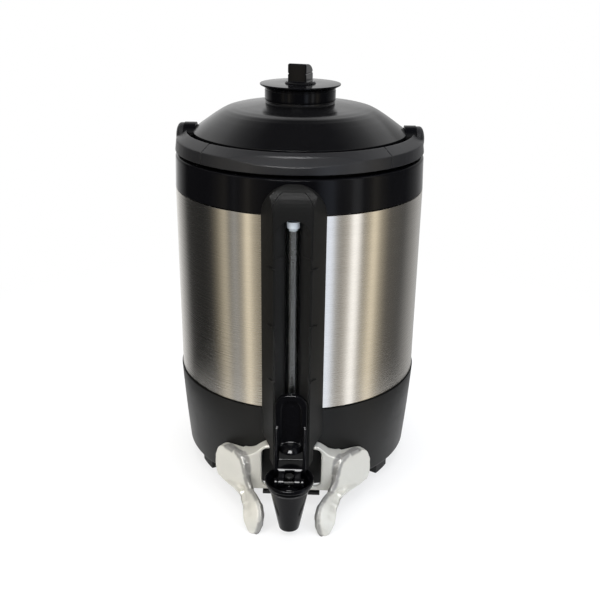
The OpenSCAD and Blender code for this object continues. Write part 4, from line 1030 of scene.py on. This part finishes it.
def applied(mesh: bpy.types.Mesh, *modifiers: tuple[str, dict]) -> bpy.types.Mesh:
    """Runs modifiers over a mesh.

    Args:
        mesh: The mesh, which is used up.
        modifiers: Each modifier's type and settings.

    Returns:
        The resulting mesh.
    """
    holder = placed("holder", mesh)
    for kind, settings in modifiers:
        modifier = holder.modifiers.new(kind.lower(), kind)
        for key, value in settings.items():
            setattr(modifier, key, value)
    return plain(holder)


def moulded(mesh: bpy.types.Mesh, voxel: float, rounds: int) -> bpy.types.Mesh:
    """Melts shells into one skin and rounds its edges, as a mould does.

    Args:
        mesh: The shells, which are used up.
        voxel: Size of the skin's faces in metres.
        rounds: How often the skin is smoothed.

    Returns:
        The skin.
    """
    return applied(mesh, ("REMESH", {"mode": "VOXEL", "voxel_size": voxel, "adaptivity": 0.0}),
                   ("SMOOTH", {"factor": 0.5, "iterations": rounds}))


def geometry_tree(name: str, numbers: dict[str, tuple[str, float]]) -> tuple[Nodes, dict]:
    """Starts a geometry tree with named sizes and a material.

    Args:
        name: The tree's name.
        numbers: Its inputs, each with a socket type and a default.

    Returns:
        The nodes of the tree, and a dict with the tree and its input node.
    """
    tree = bpy.data.node_groups.new(name, "GeometryNodeTree")
    tree.interface.new_socket("Geometry", in_out="INPUT", socket_type="NodeSocketGeometry")
    for key, (kind, value) in numbers.items():
        socket = tree.interface.new_socket(key, in_out="INPUT", socket_type=kind)
        socket.default_value = value
    tree.interface.new_socket("Material", in_out="INPUT", socket_type="NodeSocketMaterial")
    tree.interface.new_socket("Geometry", in_out="OUTPUT", socket_type="NodeSocketGeometry")
    nodes = Nodes(tree)
    return nodes, {"tree": tree, "in": nodes.add("NodeGroupInput")}


def end_tree(nodes: Nodes, ends: dict, geometry: bpy.types.NodeSocket) -> bpy.types.NodeTree:
    """Ends a geometry tree in real meshes with the material set.

    Args:
        nodes: The tree's nodes.
        ends: The dict that geometry_tree returned.
        geometry: The socket to end with.

    Returns:
        The tree.
    """
    real = nodes.add("GeometryNodeRealizeInstances", {"Geometry": geometry})
    dressed = nodes.add("GeometryNodeSetMaterial", {"Geometry": real.outputs[0],
                                                    "Material": ends["in"].outputs["Material"]})
    out = nodes.add("NodeGroupOutput")
    nodes.link(dressed.outputs[0], out.inputs["Geometry"])
    return ends["tree"]


def turning_tree() -> bpy.types.NodeTree:
    """Builds the tree that turns an outline about the vertical.

    Returns:
        A tree that takes points of radius and height and gives the turned skin.
    """
    nodes, ends = geometry_tree("turned piece", {"Segments": ("NodeSocketInt", 192)})
    outline, segments = ends["in"].outputs["Geometry"], ends["in"].outputs["Segments"]
    count = nodes.add("GeometryNodeAttributeDomainSize", {"Geometry": outline}).outputs["Point Count"]
    columns = nodes.math("ADD", segments, 1.0)
    grid = nodes.add("GeometryNodeMeshGrid", {"Vertices X": columns, "Vertices Y": count})
    index = nodes.add("GeometryNodeInputIndex").outputs[0]
    place = nodes.add("GeometryNodeSampleIndex", {
        "Geometry": outline, "Value": nodes.add("GeometryNodeInputPosition").outputs[0],
        "Index": nodes.math("MODULO", index, count)}, data_type="FLOAT_VECTOR")
    apart = nodes.add("ShaderNodeSeparateXYZ", {0: place.outputs[0]})
    column = nodes.math("FLOOR", nodes.math("DIVIDE", index, count))
    turn = nodes.math("MULTIPLY", nodes.math("DIVIDE", column, segments), 2 * math.pi)
    x = nodes.math("MULTIPLY", apart.outputs[0], nodes.math("SINE", turn))
    backward = nodes.math("MULTIPLY", nodes.math("COSINE", turn), -1.0)
    y = nodes.math("MULTIPLY", apart.outputs[0], backward)
    spot = nodes.add("ShaderNodeCombineXYZ", {0: x, 1: y, 2: apart.outputs[2]})
    moved = nodes.add("GeometryNodeSetPosition",
                      {"Geometry": grid.outputs["Mesh"], "Position": spot.outputs[0]})
    joined = nodes.add("GeometryNodeMergeByDistance",
                       {"Geometry": moved.outputs[0], "Distance": MERGE / 2})
    return end_tree(nodes, ends, joined.outputs[0])


def screw_tree() -> bpy.types.NodeTree:
    """Builds the tree that sets cross-head screws with their heads down on points.

    Returns:
        A tree that takes the points of the heads' faces and gives the screws.
    """
    sizes = {"Head Diameter": 6.4 * MM, "Head Height": 2 * MM, "Shank Diameter": 3.1 * MM,
             "Length": 14 * MM, "Slot Width": 0.9 * MM}
    numbers = {name: ("NodeSocketFloat", size) for name, size in sizes.items()}
    nodes, ends = geometry_tree("cross-head screws", {**numbers, "Seed": ("NodeSocketInt", 7)})
    given = ends["in"].outputs

    def part_of(size: Value, share: float) -> bpy.types.NodeSocket:
        """Takes a share of a size."""
        return nodes.math("MULTIPLY", size, share)

    def upward(shape: bpy.types.NodeSocket, height: Value) -> bpy.types.NodeSocket:
        """Moves a shape up."""
        way = nodes.add("ShaderNodeCombineXYZ", {2: height}).outputs[0]
        return nodes.add("GeometryNodeTransform", {"Geometry": shape, "Translation": way}).outputs[0]

    head_radius, half_head = part_of(given["Head Diameter"], 0.5), part_of(given["Head Height"], 0.5)
    rim = nodes.add("GeometryNodeMeshCone", {
        "Vertices": 32, "Radius Top": head_radius, "Depth": half_head,
        "Radius Bottom": part_of(given["Head Diameter"], 0.38)}).outputs["Mesh"]
    head = nodes.add("GeometryNodeMeshCylinder", {
        "Vertices": 32, "Radius": head_radius, "Depth": half_head}).outputs["Mesh"]
    shank_length = nodes.math("SUBTRACT", given["Length"], half_head)
    shank = nodes.add("GeometryNodeMeshCylinder", {
        "Vertices": 24, "Radius": part_of(given["Shank Diameter"], 0.5),
        "Depth": shank_length}).outputs["Mesh"]
    shank_middle = nodes.math("ADD", half_head, part_of(shank_length, 0.5))
    slot, long = given["Slot Width"], part_of(given["Head Diameter"], 0.58)
    deep = part_of(given["Head Height"], 1.2)
    bars = [nodes.add("GeometryNodeMeshCube", {
        "Size": nodes.add("ShaderNodeCombineXYZ", {0: x, 1: y, 2: deep}).outputs[0]})
        for x, y in ((long, slot), (slot, long))]
    body = nodes.add("GeometryNodeMeshBoolean", operation="UNION")
    for part in (rim, upward(head, part_of(given["Head Height"], 0.75)), upward(shank, shank_middle)):
        nodes.link(part, body.inputs["Mesh 2"])
    cut = nodes.add("GeometryNodeMeshBoolean", {"Mesh 1": body.outputs["Mesh"]},
                    operation="DIFFERENCE")
    for bar in bars:
        nodes.link(bar.outputs["Mesh"], cut.inputs["Mesh 2"])
    any_turn = nodes.add("FunctionNodeRandomValue", data_type="FLOAT")
    any_turn.inputs[3].default_value = 2 * math.pi
    nodes.link(given["Seed"], any_turn.inputs["Seed"])
    turned = nodes.add("FunctionNodeEulerToRotation", {0: nodes.add(
        "ShaderNodeCombineXYZ", {2: any_turn.outputs[1]}).outputs[0]})
    screws = nodes.add("GeometryNodeInstanceOnPoints", {
        "Points": given["Geometry"], "Instance": cut.outputs["Mesh"], "Rotation": turned.outputs[0]})
    return end_tree(nodes, ends, screws.outputs[0])


def grown(name: str, points: Sequence[Point], tree: bpy.types.NodeTree,
          **sizes: object) -> bpy.types.Mesh:
    """Runs a geometry tree over points.

    Args:
        name: The mesh's name.
        points: The points in metres.
        tree: The tree.
        sizes: Values for its inputs, with an underscore for each space.

    Returns:
        The tree's mesh with its faces outward.
    """
    seed = bpy.data.meshes.new(name)
    seed.from_pydata(points, [], [])
    holder = placed(name, seed)
    modifier = holder.modifiers.new("tree", "NODES")
    modifier.node_group = tree
    for socket in tree.interface.items_tree:
        key = socket.name.replace(" ", "_")
        if socket.in_out == "INPUT" and key in sizes:
            modifier[socket.identifier] = sizes[key]
    mesh = plain(holder)
    work = bmesh.new()
    work.from_mesh(mesh)
    if work.calc_volume(signed=True) < 0:
        bmesh.ops.reverse_faces(work, faces=work.faces)
    return written(work, mesh)


def rounded(outline: Sequence[tuple[float, float]], radius: float,
            steps: int = 4) -> list[tuple[float, float]]:
    """Rounds the corners of a closed outline.

    Args:
        outline: Its corners.
        radius: The corners' radius, less where an edge is short.
        steps: Steps along each corner.

    Returns:
        The rounded outline.
    """
    out = []
    for i, corner in enumerate(outline):
        following = outline[(i + 1) % len(outline)]
        here, before, after = Vector(corner), Vector(outline[i - 1]), Vector(following)
        to_before, to_after = before - here, after - here
        reach = min(radius, to_before.length * 0.45, to_after.length * 0.45)
        a, b = here + to_before.normalized() * reach, here + to_after.normalized() * reach
        for k in range(steps + 1):
            t = k / steps
            spot = a * (1 - t) ** 2 + here * (2 * t * (1 - t)) + b * t ** 2
            out.append((spot.x, spot.y))
    return out


def carved(mesh: bpy.types.Mesh, tool: bpy.types.Mesh) -> bpy.types.Mesh:
    """Cuts one mesh out of another.

    Args:
        mesh: The mesh to cut, which is used up.
        tool: What is cut out of it, which is used up.

    Returns:
        The result.
    """
    other = placed("tool", tool)
    result = applied(mesh, ("BOOLEAN", {"operation": "DIFFERENCE", "object": other,
                                        "solver": "EXACT"}))
    bpy.data.objects.remove(other)
    return result


@dataclass(frozen=True)
class Turned:
    """A piece that is turned about the vertical.

    Attributes:
        node: The CAD node that it stands for.
        slot: The record's material slot.
        body: The body that it belongs to.
        outline: Its closed outline: radii and heights in metres.
        corner: Radius of its edges in metres.
        segments: How many flats make a full turn.
        holes: Upright holes: place towards +X, radius, height of the middle and length, in metres.
    """

    node: str
    slot: str
    body: str
    outline: tuple[tuple[float, float], ...]
    corner: float = 0.3 * MM
    segments: int = 192
    holes: tuple[tuple[float, float, float, float], ...] = ()

    def mesh(self, tree: bpy.types.NodeTree) -> bpy.types.Mesh:
        """Turns the outline.

        Args:
            tree: The turning tree.

        Returns:
            The turned mesh.
        """
        ring = rounded(self.outline, self.corner) if self.corner else list(self.outline)
        points = [(r, 0.0, z) for r, z in ring + ring[:1]]
        mesh = grown(self.node + "_turned", points, tree, Segments=self.segments)
        for x, radius, middle, length in self.holes:
            work = bmesh.new()
            bmesh.ops.create_cone(work, cap_ends=True, segments=48, radius1=radius, radius2=radius,
                                  depth=length, matrix=Matrix.Translation((x, 0.0, middle)))
            mesh = carved(mesh, written(work, bpy.data.meshes.new("hole")))
        return mesh


@dataclass
class Lid:
    """The lid's dome with its neck and the two notches for the pivot posts.

    Attributes:
        rim: The dome's radius in metres.
        brim: Height of the brim in metres.
        rise: Height of the dome over the brim in metres.
        wall: The dome's wall in metres.
        shares: The dome's curve, as shares of the radius and of the rise.
        neck: Radius and top of the neck in metres.
        bore: Radius of the neck's bore in metres.
        skirt: Radius and foot of the skirt in metres.
        edge: Height of the brim's edge in metres.
        notch: Inner face and half width of a notch in metres.
        cut: Depth and height of a notch's cut in metres.
        corner: Radius of the dome's edges in metres.
        below: How far the room inside reaches under the skirt, in metres.
        inside: The room's own bore as a share of the neck's.
        steps: Steps along the dome's curve between two shares.
    """

    rim: float = 93.5 * MM
    brim: float = 313.2 * MM
    rise: float = 24 * MM
    wall: float = 3 * MM
    shares: Table = ((1.0, 0.0), (0.96, 0.11), (0.90, 0.28), (0.83, 0.47), (0.76, 0.645),
                     (0.70, 0.77), (0.64, 0.84), (0.56, 0.895), (0.45, 0.951), (0.34, 1.0))
    neck: tuple[float, float] = (30.3 * MM, 339 * MM)
    bore: float = 27 * MM
    skirt: tuple[float, float] = (92.5 * MM, 294.8 * MM)
    edge: float = 2.8 * MM
    notch: tuple[float, float] = (91 * MM, 12.7 * MM)
    cut: tuple[float, float] = (20 * MM, 60 * MM)
    corner: float = 0.5 * MM
    below: float = 1 * MM
    inside: float = 0.9
    steps: int = 6

    def build(self, finisher: Finisher, tree: bpy.types.NodeTree) -> None:
        """Builds the dome.

        Args:
            finisher: Makes the piece.
            tree: The turning tree.
        """
        skin, room = (Turned(name, "lid_black", "lid", section, corner=corner).mesh(tree)
                      for name, section, corner in (
                          ("lid_dome", self._section(0.0, self.bore), self.corner),
                          ("lid_room", self._section(self.wall, self.bore * self.inside), 0.0)))
        room = carved(room, self._boxes(self.wall))
        mesh = carved(carved(skin, self._boxes(0.0)), room)
        finisher.finish("lid_dome_smooth", mesh, "lid_black", "lid", ["lid_dome"], crease=30)

    def _section(self, wall: float, bore: float) -> tuple[tuple[float, float], ...]:
        """Draws the dome's section, moved inward by a wall.

        Args:
            wall: The wall in metres.
            bore: Radius at which the section ends in metres.

        Returns:
            Radii and heights.
        """
        curve = smooth_through([Vector(share) for share in self.shares], self.steps)
        dome = [(c.x * (self.rim - wall), self.brim + c.y * self.rise - wall) for c in curve]
        edge, top = self.brim - self.edge - wall, self.brim + self.rise - wall
        foot = self.skirt[1] - (self.below if wall else 0.0)
        side = [(bore, foot), (self.skirt[0] - wall, foot), (self.skirt[0] - wall, edge)]
        if wall:
            return (*side, *dome, (bore, top))
        neck = ((self.neck[0], top), self.neck, (bore, self.neck[1]))
        return (*side, (self.rim, edge), *dome, *neck)

    def _boxes(self, wall: float) -> bpy.types.Mesh:
        """Makes the room of the two notches.

        Args:
            wall: How far it is grown inward, in metres.

        Returns:
            Two boxes.
        """
        work = bmesh.new()
        near, half = self.notch[0] - wall, self.notch[1] + wall
        depth, height = self.cut
        for side in (-1, 1):
            box = bmesh.ops.create_cube(work, size=1.0)["verts"]
            bmesh.ops.scale(work, verts=box, vec=(depth, 2 * half, height))
            bmesh.ops.translate(work, verts=box, vec=(side * (near + depth / 2), 0, self.brim))
        return written(work, bpy.data.meshes.new("notches"))


@dataclass(frozen=True)
class Screws:
    """Equal cross-head screws that face down.

    Attributes:
        node: The CAD node that they stand for.
        body: The body that they belong to.
        angles: Their directions from the front towards +X, in degrees.
        radius: Their distance from the axis in metres.
        face: Height of the heads' faces in metres.
        length: Their whole length in metres.
        sunk: How far the heads' faces are set in from the CAD faces, in metres.
    """

    node: str
    body: str
    angles: tuple[float, ...]
    radius: float
    face: float
    length: float
    sunk: float = 0.5 * MM

    def build(self, finisher: Finisher, tree: bpy.types.NodeTree) -> None:
        """Builds the screws.

        Args:
            finisher: Makes the piece.
            tree: The screw tree.
        """
        face = self.face + self.sunk
        points = [tuple(polar(angle, self.radius, face)) for angle in self.angles]
        mesh = grown(self.node + "_cross", points, tree, Length=self.length - self.sunk,
                     Material=finisher.wardrobe.materials["screw_steel"])
        finisher.finish(self.node + "_cross", mesh, "screw_steel", self.body, [self.node])


@dataclass
class Stand:
    """The cast front stand: a plate with a window between two leg blades.

    Attributes:
        finisher: Makes the pieces.
        reach: How far the toes reach out from the base, in metres.
        wing: Height of a wing in metres.
        root: Radius that the legs grow from, in metres.
        thick: Thickness of a blade in metres.
        corner: Radius along a blade's edges in metres.
        outer: Stations of the outer edge: angle, share of the reach, share of the wing's height.
        inner: Stations of the inner edge.
        hollow: Places of the hollow near each toe: angle, radius and height in metres.
        press: Depth and half width of the hollow in metres.
        bevel: Reach of the inner edge's bevel in metres, and its slope.
        lobe: Angle, height and radius of a wing's round upper corner.
        voxel: Size of the casting's faces in metres.
        rounds: How often the casting is smoothed.
        steps: Steps along a blade's edge between two stations.
        hollow_steps: Steps along the hollow between two places.
        hollow_zone: Where hollows are pressed: least distance from the middle plane in metres,
            and least share of facing ahead.
        hollow_run: Start and length of a hollow's deepening, as shares of half a wave.
        bevel_from: Least distance of the bevels from the middle plane in metres.
        RISE: How far a blade's front leans back, as the slope of its facing.
        worn_share: Share of the bevel over which the painted shade fades out.
    """

    RISE = 0.6

    finisher: Finisher
    reach: float = 50 * MM
    wing: float = 54 * MM
    root: float = 107.9 * MM
    thick: float = 5.4 * MM
    corner: float = 1.1 * MM
    outer: Table = ((34.0, 0.09, 0.93), (37.2, 0.07, 0.74), (38.0, 0.07, 0.50),
                    (37.0, 0.07, 0.31), (31.6, 0.156, 0.287), (24.8, 0.333, 0.324),
                    (19.5, 0.517, 0.354), (16.2, 0.71, 0.27), (14.8, 0.87, 0.15),
                    (13.2, 0.955, 0.05), (11.6, 0.985, -0.03))
    inner: Table = ((30.1, 0.12, 0.96), (22.8, 0.24, 0.98), (19.6, 0.32, 0.92),
                    (18.1, 0.36, 0.80), (17.0, 0.383, 0.60), (14.8, 0.438, 0.443),
                    (12.3, 0.544, 0.411), (9.8, 0.694, 0.378), (8.5, 0.825, 0.29),
                    (8.3, 0.94, 0.14), (9.4, 0.97, -0.01))
    hollow: Table = ((20.5, 125.4 * MM, 21.4 * MM), (17.4, 134.8 * MM, 19.5 * MM),
                     (15.0, 142.8 * MM, 15.8 * MM), (13.7, 149.2 * MM, 11 * MM))
    press: tuple[float, float] = (3.0 * MM, 2.4 * MM)
    bevel: tuple[float, float] = (5.2 * MM, 0.45)
    lobe: tuple[float, float, float] = (30.5, 38 * MM, 12 * MM)
    voxel: float = 0.8 * MM
    rounds: int = 4
    steps: int = 8
    hollow_steps: int = 12
    hollow_zone: tuple[float, float] = (20 * MM, 0.2)
    hollow_run: tuple[float, float] = (0.15, 0.92)
    bevel_from: float = 10 * MM
    worn_share: float = 0.25

    def build(self) -> None:
        """Builds the casting."""
        legs = [self._leg(side) for side in (-1, 1)]
        mesh = moulded(gathered("stand", ["front_stand"], legs), self.voxel, self.rounds)
        self._round_wings(mesh)
        self._press_hollows(mesh)
        self._bevel_edges(mesh)
        self.finisher.finish("cast_stand", mesh, "cast_aluminium", "vessel", ["front_stand"],
                             crease=60)

    def _edge(self, table: Table, steps: int) -> list[Vector]:
        """Runs one edge of a blade through its stations.

        Args:
            table: The stations.
            steps: Steps between two stations.

        Returns:
            The edge's points.
        """
        rows = smooth_through([Vector(row) for row in table], steps)
        return [polar(angle, self.root + out * self.reach, up * self.wing) for angle, out, up in rows]

    def _leg(self, side: int) -> Shell:
        """Builds one blade with round ends.

        Args:
            side: 1 for the right leg, -1 for the left.

        Returns:
            Its points and faces.
        """
        outer, inner = (self._edge(table, self.steps) for table in (self.outer, self.inner))
        last = len(outer) - 1
        rings = []
        for i, (a, b) in enumerate(zip(outer, inner)):
            before, after = max(0, i - 1), min(last, i + 1)
            along = (outer[after] + inner[after] - (outer[before] + inner[before])).normalized()
            across = (b - a).normalized()
            out = across.cross(along).normalized()
            rings.append(self._section((a + b) / 2, across, out, (b - a).length / 2))
        points, faces = loft(rings)
        return [(side * x, y, max(z, 0.0)) for x, y, z in points], faces

    def _section(self, middle: Vector, across: Vector, out: Vector, half: float) -> list[Vector]:
        """Draws a blade's cross-section, a flat bar with rounded edges.

        Args:
            middle: Its middle.
            across: Its long direction.
            out: Its short direction.
            half: Half of its width.

        Returns:
            The section's points.
        """
        r = self.corner
        w, h = max(half, r) - r, self.thick / 2 - r
        ring = []
        for cx, cz, start in ((w, h, 0), (-w, h, 90), (-w, -h, 180), (w, -h, 270)):
            for k in range(4):
                a = math.radians(start + 30 * k)
                ring.append(middle + across * (cx + r * math.cos(a)) + out * (cz + r * math.sin(a)))
        return ring

    def _round_wings(self, mesh: bpy.types.Mesh) -> None:
        """Pulls the wings' upper corners in to a round end.

        Args:
            mesh: The casting.
        """
        angle, height, radius = self.lobe
        for vertex in mesh.vertices:
            turn = math.degrees(math.atan2(abs(vertex.co.x), -vertex.co.y))
            across, up = math.radians(turn - angle) * self.root, vertex.co.z - height
            away = math.hypot(across, up)
            if across > 0 and up > 0 and away > radius:
                share = radius / away
                turn = math.radians(angle) + across * share / self.root
                flat = vertex.co.xy.length
                x = math.copysign(math.sin(turn) * flat, vertex.co.x)
                vertex.co = Vector((x, -math.cos(turn) * flat, height + up * share))

    @staticmethod
    def _path(places: Sequence[Vector], side: int) -> KDTree:
        """Lays a searchable path through places.

        Args:
            places: The places on the right-hand side.
            side: 1 for the right side, -1 for the left.

        Returns:
            A tree of its points.
        """
        path = KDTree(len(places))
        for number, place in enumerate(places):
            path.insert((side * place.x, place.y, place.z), number)
        path.balance()
        return path

    def _press_hollows(self, mesh: bpy.types.Mesh) -> None:
        """Presses the long hollow into the front of each leg near its toe.

        Args:
            mesh: The casting.
        """
        places = smooth_through([polar(*place) for place in self.hollow], self.hollow_steps)
        facing = self._facing(mesh)
        least, least_ahead = self.hollow_zone
        start, run = self.hollow_run
        deep, half = self.press
        for side in (-1, 1):
            path = self._path(places, side)
            for vertex, ahead in zip(mesh.vertices, facing):
                if vertex.co.x * side < least or ahead < least_ahead:
                    continue
                _, number, away = path.find(vertex.co)
                away = max(0.0, away - self.thick / 2)
                depth = deep * math.sin(math.pi * min(1.0, start + number / len(places)) * run)
                if away < 3 * half:
                    push = depth * math.exp(-(away / half) ** 2 * 2)
                    vertex.co -= self._front(vertex.co) * push

    @classmethod
    def _front(cls, spot: Vector) -> Vector:
        """Finds the way that a blade faces at a spot: outward and up."""
        return Vector((spot.x, spot.y, cls.RISE * spot.xy.length)).normalized()

    def _facing(self, mesh: bpy.types.Mesh) -> list[float]:
        """Finds how squarely each point of the casting faces the blades' front."""
        return [vertex.normal.dot(self._front(vertex.co)) for vertex in mesh.vertices]

    def _bevel_edges(self, mesh: bpy.types.Mesh) -> None:
        """Bevels the blades' inner edges and marks them for painted shade, a darker band that stands
        in for a dark reflection.

        Args:
            mesh: The casting.
        """
        places = self._edge(self.inner, 2 * self.steps)
        reach, slope = self.bevel
        facing = self._facing(mesh)
        worn = [0.0] * len(mesh.vertices)
        for side in (-1, 1):
            path = self._path(places, side)
            for vertex, ahead in zip(mesh.vertices, facing):
                if vertex.co.x * side < self.bevel_from:
                    continue
                away = path.find(vertex.co)[2]
                # Painted shade: the attribute weights a darker band along each inner edge that stands
                # in for its dark reflection.
                depth = (reach - away) / (self.worn_share * reach)
                worn[vertex.index] = max(0.0, min(1.0, depth))
                if ahead > 0.0 and away < reach:
                    vertex.co -= self._front(vertex.co) * (reach - away) * slope
                vertex.co.z = max(0.0, vertex.co.z)
        mesh.attributes.new("worn", "FLOAT", "POINT").data.foreach_set("value", worn)


@dataclass
class Softened:
    """A CAD node whose edges are rounded as its mould or its polishing rounds them.

    Attributes:
        node: The CAD node.
        slot: The record's material slot.
        body: The body that it belongs to.
        voxel: Size of its faces in metres.
        rounds: How often it is smoothed.
    """

    node: str
    slot: str
    body: str
    voxel: float
    rounds: int = 4

    def build(self, finisher: Finisher) -> None:
        """Builds the piece.

        Args:
            finisher: Makes the piece.
        """
        mesh = moulded(gathered(self.node, [self.node]), self.voxel, self.rounds)
        finisher.finish(self.node + "_soft", mesh, self.slot, self.body, [self.node], crease=70)


TURNED = (
    Turned("outer_shell", "brushed_steel", "vessel", tuple((r * MM, z * MM) for r, z in (
        (105.95, 79.3), (105.95, 94.3), (110, 95.3), (110, 265.1), (105.95, 266.1),
        (105.95, 281.1), (105.15, 281.1), (105.15, 265.3), (109.2, 264.3), (109.2, 96.1),
        (105.15, 95.1), (105.15, 79.3))),
        corner=0.35 * MM, segments=240),
    Turned("fill_cap", "gloss_black", "cap", tuple((r * MM, z * MM) for r, z in (
        (3.05, 326), (26.5, 326), (26.5, 328.4), (25.5, 328.4), (25.5, 330.8), (26.5, 330.8),
        (26.5, 339.3), (30.8, 339.3), (30.8, 347.8), (30.1, 347.8), (30.1, 348.7), (30.8, 348.7),
        (30.8, 349.6), (35, 351.75), (35, 353), (3.05, 353), (3.05, 350.5), (24.5, 350.5),
        (24.5, 328.5), (3.05, 328.5))),
        corner=0.4 * MM, segments=160,
        holes=tuple((x * MM, 5 * MM, 326.5 * MM, 6 * MM) for x in (-14, 14))),
)
SCREWS = (
    Screws("floor_screws", "vessel", (35, 145, 215, 325), 97 * MM, 17.7 * MM, 14 * MM),
    Screws("grip_screws", "handle", (-28, 28), 102.9 * MM, 297.3 * MM, 5.4 * MM),
)
SOFTENED = (
    Softened("faucet_lever", "gloss_black", "lever", 0.38 * MM, 5),
    Softened("spout", "gloss_black", "vessel", 0.50 * MM, 4),
    Softened("bonnet", "gloss_black", "vessel", 0.36 * MM, 3),
    Softened("cap_knob", "gloss_black", "knob", 0.30 * MM, 5),
    Softened("handle_grip", "handle_black", "handle", 0.55 * MM, 4),
    Softened("handle_bow", "handle_black", "handle", 0.55 * MM, 4),
)


def main() -> None:
    """Builds and dresses everything in order."""
    logging.basicConfig(level=logging.INFO, format="%(name)s: %(message)s")
    bpy.context.scene.view_settings.view_transform = "Standard"
    Studio().build()
    wardrobe = Wardrobe(FINISHES)
    wardrobe.dress_frame()
    LOG.info("dressed %d nodes", len(frame["nodes"]))
    finisher = Finisher(wardrobe)
    turning, screws = turning_tree(), screw_tree()
    for turned in TURNED:
        finisher.finish(turned.node + "_turned", turned.mesh(turning), turned.slot, turned.body,
                        [turned.node])
    Lid().build(finisher, turning)
    for group in SCREWS:
        group.build(finisher, screws)
    Stand(finisher).build()
    for soft in SOFTENED:
        soft.build(finisher)


if __name__ == "__main__":
    main()
